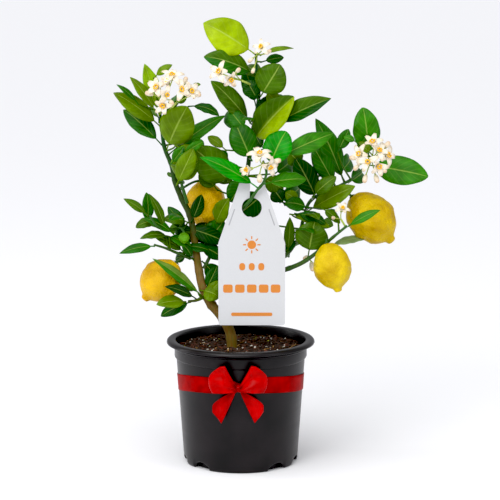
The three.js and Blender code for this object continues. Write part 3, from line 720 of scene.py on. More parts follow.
def grow_leaf(bm, foot, tip, up, width, arch, fold, petiole, colour, draw, fine=(24, 10), point_share=0.56):
    """A petiole and a blade in one mesh: face material 0, back material 1."""
    way = (tip - foot).normalized()
    up = (up - way * up.dot(way)).normalized()
    control = (foot + tip) / 2 + up * 2 * arch
    share = min(0.45, petiole / (tip - foot).length)
    lift = math.tan(math.radians(fold))
    waves, phase = draw.uniform(2.2, 3.6), draw.uniform(0, 6.28)
    ripple = draw.uniform(0.015, 0.04) * width
    curl, twist = draw.uniform(0.02, 0.12) * width, draw.uniform(-0.25, 0.25)
    shape_power = draw.uniform(0.94, 1.06)
    bluntness = min(0.85, max(point_share, 1.12 - width / (tip - foot).length))

    def spine(t):
        return foot * (1 - t) ** 2 + control * 2 * t * (1 - t) + tip * t * t

    def shape(u, v, side):
        t = share + (1 - share) * u
        along = ((control - foot) * (1 - t) + (tip - control) * t).normalized()
        across = up.cross(along).normalized()
        above = along.cross(across)
        half = width / 2 * blade_width(u ** shape_power, bluntness)
        rise = half * (lift * (math.sqrt(v * v + 0.02) - 0.14) - 0.22 * v ** 4)
        wave = math.sin(waves * 6.28 * u + phase + (1.7 if v > 0 else 0))
        rise += ripple * v * v * wave * math.sin(math.pi * u)
        rise += half * v * math.tan(twist) * u - curl * max(0, u - 0.6) ** 2 * 6
        return spine(t) + across * half * v + above * (rise + side * LEAF_THICKNESS)

    slab(bm, shape, *fine, colour, 1)
    stalk = [spine(share * i / 4) - up * 0.3 * MM for i in range(5)]
    stalk.insert(0, stalk[0] - (stalk[1] - stalk[0]).normalized() * 2 * MM)
    stalk.append(spine(share + 0.12 * (1 - share)) - up * 0.45 * MM)
    sizes = [1.3, 1.15, 1, 1, 1, 0.95, 0.35]
    tube(bm, stalk, [PETIOLE_RADIUS * s for s in sizes], 7, colour(0, 0) if callable(colour) else colour, 0)

# %% [markdown]
# ## Leaves that the CAD places
# A CAD leaf is a stack of four-sided rings, so its foot, tip, width, arch and facing can be read
# from it. Listing those places again would let the two models drift apart. What a ring can't say is
# listed here: each leaf's tone, and the length of its petiole in millimetres.

# %% Leaves that the CAD places
# Leaf tones, from the youngest leaves to those deep in the crown. Young leaves are lime and old
# ones dark green, and the darker tones, DEEP, DARK and SHADE, also hold painted shade for leaves
# that sit in the crown's shadow.
LIME = "#98B60C"
SPRING = "#84AC10"
OLIVE = "#66880C"
MOSS = "#456C0A"
BRIGHT = "#0E8C06"
GREEN = "#357F10"
MID = "#24680C"
DEEP = "#155208"
DARK = "#0C4006"
SHADE = "#082C04"
PALE = "#86A066"

CAD_LEAVES = {
    "top_leaf_lime": (LIME, 9), "top_leaf_left": (MOSS, 9), "top_leaf_back": (MID, 9),
    "long_leaf_left": (MOSS, 9), "long_leaf_right": (MOSS, 9),
    "twig_leaf_upright": (BRIGHT, 9), "twig_leaf_left": (BRIGHT, 9), "twig_leaf_right": (GREEN, 9),
    "twig_leaf_back": (GREEN, 28), "shade_leaf": (MOSS, 28), "arched_leaf": (DEEP, 45),
    "cluster_leaf_upright": (SPRING, 9), "cluster_leaf_left": (OLIVE, 9),
    "cluster_leaf_back": (DEEP, 9), "cluster_leaf_olive": (OLIVE, 9),
    "cluster_leaf_right": (GREEN, 9), "left_leaf_upper": (MOSS, 6), "left_leaf_lower": (MID, 3),
    "stem_leaf": (OLIVE, 9), "inner_leaf": (OLIVE, 9), "low_leaf_upper": ("#6C8C34", 9),
    "low_leaf_front": (DARK, 9), "low_leaf_middle": (OLIVE, 3), "low_leaf_lower": (DEEP, 3),
    "right_leaf_upright": (GREEN, 9), "right_leaf_outer": (GREEN, 9), "right_leaf_dark": (MID, 9),
    "right_leaf_back": (DEEP, 9), "right_leaf_olive": (OLIVE, 9), "right_leaf_round": (MOSS, 9),
    "right_leaf_narrow": (GREEN, 2),
}

# Leaves whose far half turns its other side to the light: the colour of that half, which is
# painted light or painted shade, and which side of the midrib it is on.
PAINTED_LIGHT_HALVES = {"long_leaf_right": (LIME, -1), "top_leaf_lime": ("#A9C412", 1), "arched_leaf": (MOSS, 1),
              "top_leaf_left": (MID, 1), "cluster_leaf_back": (MID, 1), "low_leaf_upper": (GREEN, 1),
              "right_leaf_back": (MOSS, -1)}


def leaf_tone_with_painted_half(name, colour):
    """A leaf's tone at a share along and across: one colour, or two that meet at the midrib,
    where the far half carries painted light or painted shade.
    """
    base = Vector(linear(colour))
    if name not in PAINTED_LIGHT_HALVES:
        return tuple(base)
    other, hand = Vector(linear(PAINTED_LIGHT_HALVES[name][0])), PAINTED_LIGHT_HALVES[name][1]
    return lambda u, v: tuple(base.lerp(other, min(1, max(0, 0.5 + 6 * hand * v))))


# Leaves folded more than the rest, in degrees.
EXTRA_FOLD = {"long_leaf_right": 12, "arched_leaf": 14, "low_leaf_front": 8}

# Leaves that curl in from their margins, as a share of the CAD leaf's width.
CURLED_IN = {"low_leaf_upper": 0.62, "low_leaf_front": 0.72, "left_leaf_upper": 0.6, "left_leaf_lower": 0.78}

# Leaves in a pot by a window turn their faces to the light, here the front.
TOWARDS_FRONT = Vector((0, -0.45, 0))

for name, (colour, petiole) in CAD_LEAVES.items():
    rings = cad_rings(name, LEAF_SIDES, mean_spoke, 9)
    tip, foot = rings[0][0], rings[-1][0]
    widest, up = 0, None
    for ring in rings[1:6]:
        pairs = sorted(((a - b).length, i, j) for i, a in enumerate(ring) for j, b in enumerate(ring[:i]))
        span, i, j = pairs[-1]
        if span > widest:
            others = [p for k, p in enumerate(ring) if k not in (i, j)]
            widest, up = span, (ring[i] + ring[j]) / 2 - middle(others)
            rib = middle(others)
    way = (tip - foot).normalized()
    arch = ((rib - foot) - way * (rib - foot).dot(way)).length
    fold = math.degrees(math.atan2(up.length, widest / 2)) + EXTRA_FOLD.get(name, 0)
    up = up.normalized() + TOWARDS_FRONT
    bm = start()
    grow_leaf(bm, foot, tip, up, widest * CURLED_IN.get(name, 1), arch, fold, petiole * MM,
              leaf_tone_with_painted_half(name, colour), random.Random(name), point_share=0.74 if "lime" in name else 0.56)
    finish_piece(bm, f"{name}_blade", [leaf_face, leaf_back], [name])
print("CAD leaves", len(CAD_LEAVES))

# %% [markdown]
# ## Smaller leaves
# The crown is fuller than the CAD leaves alone. The smaller ones are listed one by one, because
# leaves scattered by chance would close the gaps through which the limbs show.

# %% Smaller leaves between them
SMALL_LEAVES = [
    # name, foot, tip, width, facing, arch, fold, colour
    ("top_twisted", (26, 0, 524), (67, 5, 532), 11, (0.2, -0.5, 1), 3, 25, OLIVE),
    ("top_dark", (27, 12, 514), (55, 20, 519), 13, (0, -1, 0.4), 3, 12, DEEP),
    ("top_round", (26, -4, 473), (50, -12, 513), 42, (0.1, -1, 0.2), 4, 10, MOSS),
    ("top_shaded", (30, 14, 478), (53, 20, 453), 20, (0.2, -1, 0.4), 3, 10, OLIVE),
    ("centre_round", (14, -2, 391), (-7, 8, 438), 36, (0, -1, 0.1), 4, 10, MID),
    ("centre_olive", (-12, 10, 374), (-62, 22, 403), 30, (0.2, -1, 0.4), 5, 12, MOSS),
    ("centre_pale", (-19, 18, 401), (-42, 26, 418), 14, (0.2, -1, 0.5), 3, 12, OLIVE),
    ("centre_small", (-42, 15, 404), (-62, 22, 413), 12, (0.2, -1, 0.5), 3, 12, GREEN),
    ("cluster_small_top", (-109, 5, 495), (-86, 0, 512), 12, (0.1, -1, 0.6), 3, 14, OLIVE),
    ("cluster_far_left", (-108, 10, 452), (-139, 4, 496), 17, (0.5, -1, 0.5), 4, 14, OLIVE),
    ("cluster_narrow", (-130, 6, 462), (-156, 0, 487), 9, (0.3, -1, 0.7), 3, 16, MID),
    ("cluster_curled", (-64, 0, 459), (-26, -5, 448), 15, (0, -0.8, 1), 6, 14, DEEP),
    ("cluster_inner", (-82, 8, 458), (-69, 12, 474), 12, (0, -1, 0.2), 3, 12, MOSS),
    ("cluster_tiny", (-65, 0, 482), (-50, 0, 487), 7, (0, -0.8, 1), 2, 12, OLIVE),
    ("left_upright", (-118, -22, 312), (-118, -27, 353), 18, (0.6, -1, 0.1), 3, 18, MID),
    ("left_curled", (-102, -20, 314), (-133, -27, 309), 17, (0.1, -0.8, 1), 5, 14, MOSS),
    ("left_tall", (-95, -30, 306), (-114, -37, 353), 13, (0.6, -1, 0.4), 4, 18, MOSS),
    ("left_flat", (-90, -24, 296), (-127, -31, 295), 15, (0.1, -0.8, 1), 6, 14, MOSS),
    ("left_broad", (-72, -16, 275), (-108, -23, 297), 19, (0.2, -0.8, 1), 4, 12, MOSS),
    ("left_inner", (-67, -14, 313), (-97, -21, 318), 19, (0.1, -0.8, 1), 4, 12, MOSS),
    ("left_stem_leaf", (-62, -8, 313), (-49, -3, 347), 18, (0.3, -1, 0.1), 3, 14, DARK),
    ("left_shadow", (-58, -2, 281), (-43, 7, 310), 26, (0.2, -1, 0.2), 3, 12, SHADE),
    ("left_low_small", (-60, -18, 266), (-74, -23, 288), 13, (0.3, -1, 0.4), 3, 14, DEEP),
    ("inner_broad", (-52, 4, 275), (-21, 14, 311), 30, (0.1, -1, 0.1), 4, 10, MID),
    ("behind_tag", (7, 0, 367), (-14, -10, 338), 30, (0.1, -1, 0.1), 4, 10, MID),
    ("stem_small_left", (-88, -4, 386), (-71, -9, 409), 15, (0.2, -1, 0.2), 3, 14, GREEN),
    ("stem_small_right", (-74, -4, 366), (-53, -11, 391), 14, (0.2, -1, 0.2), 3, 14, MOSS),
    ("low_dark", (-44, -20, 227), (-29, -15, 258), 18, (0.1, -1, 0.2), 3, 12, DEEP),
    ("low_light", (-46, -24, 217), (-25, -22, 239), 15, (0.1, -1, 0.5), 3, 12, OLIVE),
    ("low_olive", (-54, -26, 225), (-71, -24, 231), 12, (0.1, -0.8, 1), 3, 12, MOSS),
    ("right_small", (148, -6, 413), (130, -6, 421), 10, (0.1, -1, 0.6), 3, 14, GREEN),
    ("right_small_olive", (167, 0, 397), (148, 5, 412), 15, (0.2, -1, 0.4), 3, 12, OLIVE),
    ("right_shadow", (97, 22, 339), (70, 14, 391), 32, (0.2, -1, 0.1), 4, 10, DARK),
    ("right_inner_dark", (56, 10, 332), (42, 15, 351), 23, (0.1, -1, 0.2), 3, 10, DARK),
    ("right_inner_round", (86, -4, 330), (56, -9, 337), 23, (0.1, -0.9, 0.8), 4, 10, MID),
    ("right_inner_long", (64, -6, 322), (114, -17, 307), 20, (-0.1, -0.8, 1), 5, 12, OLIVE),
    ("right_inner_low", (60, 0, 272), (63, -5, 318), 15, (0.2, -1, 0.1), 3, 14, MOSS),
    ("right_tiny", (124, -4, 318), (111, -4, 327), 9, (0.1, -0.9, 0.8), 3, 12, MID),
    ("right_pale", (114, 0, 280), (160, 8, 289), 15, (-0.1, -0.6, 1), 4, 10, PALE),
    ("left_rimmed", (-72, -14, 282), (-39, -16, 277), 17, (0, -0.8, 1), 3, 12, DEEP),
    ("left_under", (-66, -6, 304), (-20, -1, 286), 24, (0.1, -1, 0.6), 3, 12, DARK),
    ("inner_dark", (-53, -4, 283), (-21, 1, 264), 20, (0.1, -1, 0.4), 3, 12, DEEP),
    ("inner_deep", (-48, -10, 261), (-25, -5, 235), 22, (0.1, -1, 0.3), 3, 12, DEEP),
    ("hole_dark", (30, 16, 346), (-1, 10, 320), 34, (0.1, -1, 0.1), 3, 10, DEEP),
    ("hole_small", (-1, 22, 342), (17, 18, 316), 18, (0.1, -1, 0.1), 3, 10, DEEP),
    ("centre_back_low", (27, 12, 366), (56, 18, 350), 24, (0.1, -1, 0.2), 3, 10, MOSS),
    ("centre_back_left", (-6, 16, 381), (-37, 20, 365), 26, (0.1, -1, 0.2), 3, 10, MOSS),
    ("top_inner", (22, 6, 466), (7, 10, 491), 24, (0.1, -1, 0.1), 3, 10, DEEP),
    ("top_low_dark", (22, 16, 442), (45, 20, 470), 26, (0.1, -1, 0.1), 3, 10, DARK),
    ("right_low_dark", (71, 4, 292), (57, 0, 272), 12, (0.1, -1, 0.2), 3, 10, DEEP),
    ("right_twig_leaf", (103, -8, 330), (127, -10, 311), 15, (0.1, -0.9, 0.8), 3, 12, MOSS),
    ("right_back_dark", (120, 22, 357), (92, 22, 406), 25, (0.1, -1, 0.1), 4, 12, MID),
    ("right_high_small", (123, -2, 401), (137, 0, 430), 17, (0.1, -1, 0.3), 3, 12, MID),
    ("mid_left_low", (-94, -22, 296), (-60, -15, 281), 18, (0, -0.8, 1), 3, 12, GREEN),
    ("mid_left_dark", (-82, -8, 312), (-61, -3, 285), 20, (0.1, -1, 0.3), 3, 12, DARK),
    ("stem_top", (-80, -24, 363), (-59, -24, 408), 25, (0.1, -1, 0.3), 4, 12, OLIVE),
    ("stem_fork", (-74, -20, 400), (-46, -12, 416), 12, (0.1, -1, 0.3), 4, 14, GREEN),
    ("cluster_back_low", (-82, 6, 408), (-57, 10, 394), 18, (0.1, -1, 0.4), 3, 12, OLIVE),
    ("right_mid_broad", (92, -4, 345), (121, -8, 371), 20, (-0.2, -1, 0.4), 4, 12, MOSS),
    ("right_mid_low", (70, -14, 324), (109, -20, 312), 17, (-0.1, -0.9, 0.8), 5, 12, DEEP),
    ("right_mid_small", (76, 4, 335), (57, 8, 348), 16, (0, -1, 0.4), 3, 12, OLIVE),
    ("centre_right_low", (58, 20, 401), (78, 24, 382), 24, (0, -1, 0.2), 3, 10, MOSS),
    ("centre_left_dark", (-19, 18, 378), (-34, 22, 400), 26, (0, -1, 0.2), 3, 10, MID),
    ("left_of_tag", (-42, 14, 306), (-21, 20, 327), 26, (0, -1, 0.3), 3, 10, MOSS),
    ("left_of_tag_low", (-51, -24, 227), (-26, -29, 219), 26, (0, -0.9, 0.8), 4, 12, OLIVE),
    ("back_low", (20, 40, 250), (42, 82, 262), 24, (-0.8, 0.3, 0.7), 5, 12, DEEP),
    ("back_low_left", (0, 35, 236), (-22, 74, 242), 22, (0.5, 0.2, 1), 5, 12, MID),
    ("back_middle", (36, 50, 300), (12, 86, 320), 26, (-0.5, 0.3, 0.9), 5, 12, MID),
    ("back_right", (52, 45, 330), (78, 84, 344), 26, (0.9, 0.2, 0.5), 5, 12, MID),
    ("back_upper", (30, 32, 400), (18, 74, 424), 26, (-0.8, 0.3, 0.7), 5, 12, MID),
    ("back_top", (34, 24, 452), (50, 62, 470), 24, (0.5, 0.2, 1), 5, 12, MID),
    ("back_cluster", (-86, 40, 448), (-80, 78, 468), 24, (-0.5, 0.3, 0.9), 5, 12, MID),
    ("back_far_right", (128, 30, 372), (142, 70, 386), 24, (0.9, 0.2, 0.5), 5, 12, MID),
    ("back_right_high", (152, 14, 404), (168, 52, 414), 22, (-0.8, 0.3, 0.7), 5, 12, MID),
    ("front_right", (70, -10, 300), (92, -52, 306), 20, (0.1, -0.5, 1), 5, 12, MID),
    ("left_dark_long", (-70, -10, 300), (-92, -6, 332), 18, (0.3, -1, 0.2), 4, 12, DEEP),
    ("left_dark_low", (-66, 0, 268), (-84, 8, 262), 15, (0.1, -1, 0.4), 3, 12, DEEP),
    ("left_dark_inner", (-64, 4, 292), (-84, 10, 300), 18, (0.1, -1, 0.3), 3, 12, DARK),
    ("left_mid_green", (-84, -30, 300), (-122, -34, 322), 15, (0.2, -0.9, 0.8), 5, 14, MID),
    ("centre_low_left", (-30, 6, 352), (-52, 14, 376), 24, (0.1, -1, 0.2), 4, 10, MOSS),
    ("centre_high", (6, 6, 428), (-14, 16, 452), 22, (0.1, -1, 0.2), 3, 10, MID),
    ("right_low_leaf", (74, -8, 288), (98, -14, 306), 15, (-0.1, -1, 0.3), 3, 12, DEEP),
    ("back_left", (-76, 40, 352), (-94, 80, 360), 24, (0.5, 0.2, 1), 5, 12, MID),
    ("back_left_low", (-30, 40, 280), (-46, 78, 268), 22, (-0.5, 0.3, 0.9), 5, 12, MOSS),
    ("back_left_mid", (-70, 24, 296), (-92, 62, 290), 22, (0.9, 0.2, 0.5), 5, 12, MID),
    ("back_low_right", (62, 30, 262), (84, 70, 276), 22, (-0.8, 0.3, 0.7), 5, 12, MID),
    ("back_low_centre", (28, 44, 226), (8, 84, 232), 22, (0.5, 0.2, 1), 5, 12, MID),
    ("back_centre_left", (-12, 40, 352), (-34, 82, 362), 28, (-0.5, 0.3, 0.9), 5, 12, MOSS),
    ("back_centre_right", (44, 38, 368), (66, 80, 380), 26, (0.9, 0.2, 0.5), 5, 12, MID),
    ("back_upper_left", (4, 26, 426), (-18, 66, 446), 26, (-0.8, 0.3, 0.7), 5, 12, MID),
    ("back_upper_right", (36, 22, 430), (60, 62, 440), 24, (0.5, 0.2, 1), 5, 12, MID),
    ("back_crown", (24, 20, 492), (6, 58, 506), 24, (-0.5, 0.3, 0.9), 5, 12, MOSS),
    ("back_cluster_left", (-104, 30, 436), (-122, 66, 448), 22, (0.9, 0.2, 0.5), 5, 12, MID),
    ("back_cluster_low", (-78, 44, 408), (-66, 84, 420), 24, (-0.8, 0.3, 0.7), 5, 12, MID),
    ("back_right_mid", (92, 46, 352), (112, 86, 362), 26, (-0.5, 0.3, 0.9), 5, 12, MOSS),
    ("back_right_far", (140, 44, 356), (160, 84, 364), 22, (0.9, 0.2, 0.5), 5, 12, MID),
    ("back_right_low", (98, 28, 300), (120, 66, 296), 20, (-0.8, 0.3, 0.7), 5, 12, MID),
    ("fore_left", (-72, -24, 318), (-88, -64, 324), 18, (0.1, -0.5, 1), 5, 12, MID),
    ("fore_right", (84, -12, 320), (98, -52, 324), 18, (0.1, -0.5, 1), 5, 12, MOSS),
    ("fore_top", (12, -10, 440), (2, -50, 448), 20, (0.1, -0.5, 1), 5, 12, MID),
]


def nearest_stem(place):
    """The nearest point of the limbs' middle lines to a place, with a liking for lower points."""
    return min((p for line in limb_lines for p in line[:-1]),
               key=lambda p: (p - place).length + 1.5 * max(0, p.z - place.z))


def join_twig(bm, place, colour, radius=1.0):
    """A short twig that bends from the nearest limb to a place, where it is not already there."""
    root = nearest_stem(place)
    gap = place - root
    if gap.length > 3 * MM:
        bend = root + gap * 0.55 + Vector((gap.x, gap.y, 0)) * 0.12
        path = smooth_path([root, bend, place], 4)
        tube(bm, path, [radius * MM * (1.3 - 0.4 * i / (len(path) - 1)) for i in range(len(path))],
             7, colour, 0)


for name, foot, tip, width, facing, arch, fold, colour in SMALL_LEAVES:
    bm = start()
    grow_leaf(bm, point(*foot), point(*tip), Vector(facing), width * MM, arch * MM, fold, 5 * MM,
              linear(colour), random.Random(name), (18, 8))
    join_twig(bm, point(*foot), linear(MOSS))
    finish_piece(bm, f"leaf_{name}", [leaf_face, leaf_back])
print("small leaves", len(SMALL_LEAVES))

# %% [markdown]
# ## Lemons
# A lemon is a body of revolution with a nipple, made lumpy: broad bumps of about a centimetre and
# low ridges that run into the stalk end. It is a spun profile, turned on to the CAD fruit's axis,
# whose points are then pushed in and out by noise. A five-pointed calyx sits round the stalk.

# %% One lemon
# A lemon's profile from the stalk end: shares of its axis and of its radius.
LEMON_PROFILE = [
    (0.03, 0), (0.018, 0.1), (0.015, 0.2), (0.03, 0.32), (0.07, 0.46), (0.13, 0.63), (0.2, 0.78),
    (0.3, 0.92), (0.4, 0.99), (0.5, 1), (0.6, 0.96), (0.7, 0.86), (0.78, 0.74), (0.84, 0.58),
    (0.885, 0.41), (0.915, 0.28), (0.94, 0.225), (0.965, 0.2), (0.985, 0.165), (0.997, 0.09), (1, 0),
]
# The ring of the CAD fruit at its belly, counted from the nipple, and that ring's share of the axis.
LEMON_RING, BELLY_SHARE = 6, 0.42
# Each fruit's rind tone. lemon_inner's is brighter than the others as painted light, against the shade that
# the leaves cast on it.
FRUIT = {
    "lemon_low_left": ("#E0B218", 1.8, "lemon_rind"), "lemon_inner": ("#F2C41C", 1.8, "lemon_rind"),
    "lemon_right": ("#D4B60E", 3.2, "lemon_rind"), "lemon_low_right": ("#DCC018", 2, "lemon_rind"),
    "green_fruitlet": ("#5FA01E", 0.1, "green_rind"),
}


def lemon(bm, crown, nipple, radius, lump, colour, sides=96):
    """A spun lemon from its stalk end to its nipple, with bumps as high as lump."""
    axis = nipple - crown
    rows = smooth_path([Vector((r * radius, 0, s * axis.length)) for s, r in LEMON_PROFILE], 4)
    turned(bm, [(max(0, p.x), p.z) for p in rows], sides)
    turn = UP.rotation_difference(axis)
    for vert in bm.verts:
        out = Vector((vert.co.x, vert.co.y, 0))
        share, angle = vert.co.z / axis.length, math.atan2(vert.co.y, vert.co.x)
        place = turn @ vert.co + crown
        bumps = noise.fractal(place * per_metre(14), 1, 2, 2)
        ridges = math.sin(angle * 5 + 2 * math.sin(angle * 2)) * (max(0, 0.3 - share) + max(0, share - 0.75))
        vert.co = place + (turn @ out) * (bumps * lump * MM / max(radius, MM) + ridges * 0.12)
        vert[bm.verts.layers.float_color["tone"]] = colour


for name, (colour, lump, slot) in FRUIT.items():
    rings = cad_rings(name, FRUIT_SIDES, mean_spoke)
    nipple, belly = rings[0][0], middle(rings[LEMON_RING])
    crown = nipple + (belly - nipple) / (1 - BELLY_SHARE)
    radius = max((p - belly).length for p in rings[LEMON_RING])
    bm = start()
    lemon(bm, crown, nipple, radius, lump, linear(colour), 96 if radius > 15 * MM else 32)
    finish_piece(bm, f"{name}_fruit", [rind], [name])
    root = nearest_stem(crown)
    outward = (crown - nipple).normalized()
    path = smooth_path([root, root.lerp(crown, 0.6) + outward * 4 * MM, crown + outward * 1 * MM,
                        crown - outward * 3 * MM], 5)
    bm = start()
    tube(bm, path, [(1.5 + 0.5 * (i / len(path)) ** 4) * MM for i in range(len(path))], 10)
    turn = UP.rotation_difference(outward)
    cap = bmesh.ops.create_cone(bm, segments=20, cap_ends=True, radius1=4.2 * MM, radius2=1.6 * MM,
                                depth=1.8 * MM)["verts"]
    for vert in cap:
        angle = math.atan2(vert.co.y, vert.co.x)
        lobes = 1 + 0.28 * math.cos(5 * angle) if vert.co.z < 0 else 1
        small = min(1, radius / (20 * MM))
        star = Vector((vert.co.x * lobes, vert.co.y * lobes, vert.co.z)) * small
        vert.co = turn @ star + crown + outward * 0.6 * MM
    finish_piece(bm, f"{name}_stalk", [green_bark])
    print(name, "radius mm", round(radius / MM, 1), "length mm", round((crown - nipple).length / MM, 1))

# %% [markdown]
# ## Blossom
# A citrus flower has five thick strap-shaped petals that bend back, a tube of white filaments
# tipped with yellow anthers, and a small green calyx; closed buds are white and blunt. The flowers
# of one cluster are one piece. Each petal is a slab of a few dozen faces.

# %% One flower and one bud
def flower(bm, foot, facing, size, draw):
    """Petals 0, filaments 1, anthers 2, calyx 3; size is the petals' length in millimetres."""
    facing = facing.normalized()
    turn = UP.rotation_difference(facing)
    spin_by, opening = draw.uniform(0, 6.28), draw.uniform(0.55, 1.35)
    for i in range(5):
        if draw.random() < 0.1:
            continue
        spin = Matrix.Rotation(spin_by + i * 2 * math.pi / 5 + draw.uniform(-0.15, 0.15), 3, "Z")
        about = turn @ spin.to_quaternion()
        open_by = opening + draw.uniform(-0.2, 0.2)
        half = size * draw.uniform(0.23, 0.3) * MM

        def shape(u, v, side):
            bend = open_by * (0.25 + 0.9 * u)
            out = size * MM * u * math.sin(bend) + 1.2 * MM
            rise = size * MM * u * math.cos(bend) * 0.9 + 1.5 * MM
            wide = half * math.sin(math.pi * min(0.97, 0.12 + 0.82 * u)) ** 0.6
            return foot + about @ Vector((out, wide * v, rise + wide * 0.5 * v * v + side * 0.5 * MM))

        slab(bm, shape, 5, 3, back=0)
    for i in range(14):
        lean = 0.28 + draw.uniform(-0.06, 0.1)
        angle = i * 2 * math.pi / 14
        way = turn @ Vector((math.sin(lean) * math.cos(angle), math.sin(lean) * math.sin(angle),
                             math.cos(lean)))
        root = foot + facing * 1 * MM
        tip = root + way * size * draw.uniform(0.5, 0.62) * MM
        tube(bm, [root, tip], [0.45 * MM, 0.3 * MM], 5, material=1)
        tube(bm, [tip - way * 0.7 * MM, tip + way * 0.4 * MM, tip + way * 1.4 * MM],
             [0.5 * MM, 0.95 * MM, 0.5 * MM], 6, material=2)
    tube(bm, [foot - facing * 2.2 * MM, foot - facing * 0.6 * MM, foot + facing * 1.6 * MM],
         [0.9 * MM, 2 * MM, 2.2 * MM], 10, material=3)


def bud(bm, foot, facing, size):
    """A closed bud, blunt and a little bent, in its calyx."""
    facing = facing.normalized()
    rows = [0, 0.08, 0.25, 0.5, 0.75, 0.92, 1]
    widths = [0.5, 0.75, 0.9, 1, 0.95, 0.7, 0.3]
    tube(bm, [foot + facing * size * r * MM for r in rows], [size * 0.3 * w * MM for w in widths], 10,
         material=4)
    tube(bm, [foot - facing * 2 * MM, foot - facing * 0.5 * MM, foot + facing * 1.4 * MM],
         [0.8 * MM, 1.7 * MM, 1.9 * MM], 8, material=3)

# %% [markdown]
# ## Clusters
# Flowers and buds stand in loose groups, on short stalks that spring from one heart. Each group is
# one piece, and a list places its flowers, so that every group keeps its own outline.

# %% Clusters
CLUSTERS = {
    # piece: flowers as (place, facing, petal length), buds as (place, facing, length)
    "blossom_left": (
        [((-101, -34, 484), (-0.6, -1, 0.5), 15), ((-85, -30, 496), (0, -0.8, 1), 15),
         ((-94, -40, 465), (-0.3, -1, -0.1), 14), ((-93, -36, 476), (0.3, -1, 0.2), 14),
         ((-89, -32, 490), (-0.4, -1, 0.8), 13)],
        [((-109, -30, 477), (-1, -0.5, 0.3), 11), ((-88, -36, 470), (0.5, -1, -0.5), 10)]),
    "blossom_left_outer": (
        [((-65, -34, 481), (0.7, -1, 0.3), 14), ((-74, -36, 482), (0.2, -1, 0.4), 14)],
        [((-58, -30, 476), (1, -0.5, 0.1), 10), ((-70, -28, 490), (0.3, -0.4, 1), 10)]),
    "blossom_top": (
        [((-23, -40, 504), (-0.6, -1, 0.5), 15), ((-13, -36, 499), (0.3, -1, -0.4), 12)],
        [((-5, -32, 505), (0.6, -0.8, 0.7), 9), ((-10, -34, 494), (0.2, -1, -0.7), 9)]),
    "blossom_crown": (
        [((27, -14, 533), (-0.3, -1, 0.6), 11)],
        [((15, -12, 520), (-0.7, -1, -0.5), 9), ((17, -10, 508), (-0.4, -0.8, -1), 8),
         ((33, -12, 527), (0.6, -0.8, 0.5), 9)]),
    "blossom_centre": (
        [((24, -64, 401), (0, -0.6, 1), 16), ((32, -60, 391), (0.8, -1, -0.2), 14),
         ((14, -62, 388), (-1, -0.8, -0.1), 14)],
        [((41, -58, 396), (1, -0.6, 0.3), 11), ((24, -62, 380), (0, -1, -0.9), 12)]),
    "blossom_right": (
        [((167, -22, 411), (-0.2, -0.8, 1), 15), ((180, -20, 399), (1, -0.9, 0.2), 15),
         ((171, -27, 389), (0.4, -1, -0.3), 15), ((154, -20, 400), (-0.8, -0.9, 0.3), 14),
         ((161, -30, 393), (-0.2, -1, 0.1), 14), ((172, -26, 404), (0.3, -1, 0.5), 14)],
        [((158, -22, 374), (-0.3, -0.8, -1), 11), ((170, -22, 374), (0.3, -0.8, -1), 11),
         ((145, -20, 395), (-1, -0.8, 0.3), 10), ((148, -22, 386), (-0.7, -1, -0.5), 10),
         ((182, -20, 409), (0.6, -0.8, 1), 11), ((178, -24, 384), (0.6, -1, -0.6), 10)]),
    "blossom_twig": ([((128, -10, 327), (0.3, -0.9, 1), 10)], [((119, -12, 318), (-0.4, -1, 0.2), 8)]),
    "blossom_spent": ([], [((84, -10, 268), (-0.4, -0.9, -0.2), 9), ((90, -12, 261), (0.2, -0.5, -1), 12)]),
}

for name, (flowers, buds) in CLUSTERS.items():
    draw = random.Random(name)
    in_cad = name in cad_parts
    low = point(*(flowers + buds)[0][0])
    if in_cad:
        low = cad_rings(name, BLOSSOM_SIDES, lambda vert: -mean_spoke(vert))[0][0]
    root = nearest_stem(low)
    bm = start()
    heart = root.lerp(sum((point(*p) for p, _, _ in flowers + buds), Vector()) / len(flowers + buds), 0.6)
    tube(bm, smooth_path([root, root.lerp(heart, 0.5), heart], 4), [1.3 * MM] * 9, 8, material=3)
    for place, facing, size in flowers:
        flower(bm, point(*place), Vector(facing), size, draw)
    for place, facing, size in buds:
        bud(bm, point(*place), Vector(facing), size)
    for place, facing, size in flowers + buds:
        end = point(*place) - Vector(facing).normalized() * 1.5 * MM
        path = smooth_path([heart, heart.lerp(end, 0.6) - Vector(facing).normalized() * 2 * MM, end], 3)
        tube(bm, path, [0.75 * MM] * len(path), 6, material=3)
    finish_piece(bm, f"{name}_flowers", [petal, filament, pollen, calyx, bud_skin],
                 [name] if in_cad else ())
print("clusters", len(CLUSTERS))

# %% [markdown]
# ## The hang tag
# The tag is a die-cut card with a hole and a slot, so that it slips on to the twig. Its outline is
# exactly the CAD one: a copy of that mesh, merged, with the flat faces joined and the corners
# rounded by a bevel. The print is thin plates on its face: a sun, three drops and a scale of blocks.

# %% Tag card
bm = bmesh.new()
bm.from_mesh(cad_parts["plant_tag"].data)
bmesh.ops.remove_doubles(bm, verts=bm.verts, dist=WELD)
bmesh.ops.dissolve_limit(bm, angle_limit=math.radians(1), verts=bm.verts, edges=bm.edges)
tag_low, tag_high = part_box("plant_tag")
corners = [e for e in bm.edges if abs(e.verts[0].co.y - e.verts[1].co.y) > 0.5 * MM
           and len(e.link_faces) == 2 and math.degrees(e.calc_face_angle(0)) > 20
           and e.verts[0].co.z < tag_low.z + 140 * MM]
bmesh.ops.bevel(bm, geom=corners, offset=3 * MM, offset_type="OFFSET", segments=5, profile=0.5,
                affect="EDGES", material=-1)
tag = finish_piece(bm, "tag_card_body", [tag_card], ["plant_tag"], sharp=30)
print("tag faces", len(tag.data.polygons))

# %% [markdown]
# ## Print on the tag
# Flat print could be a mask in the card's material. Thin plates with rounded corners are simpler,
# and their edges stay sharp from any distance.

# %% Tag print
PRINT_RISE = 0.12 * MM
print_face = tag_low.y - PRINT_RISE
tag_centre = (tag_low.x + tag_high.x) / 2


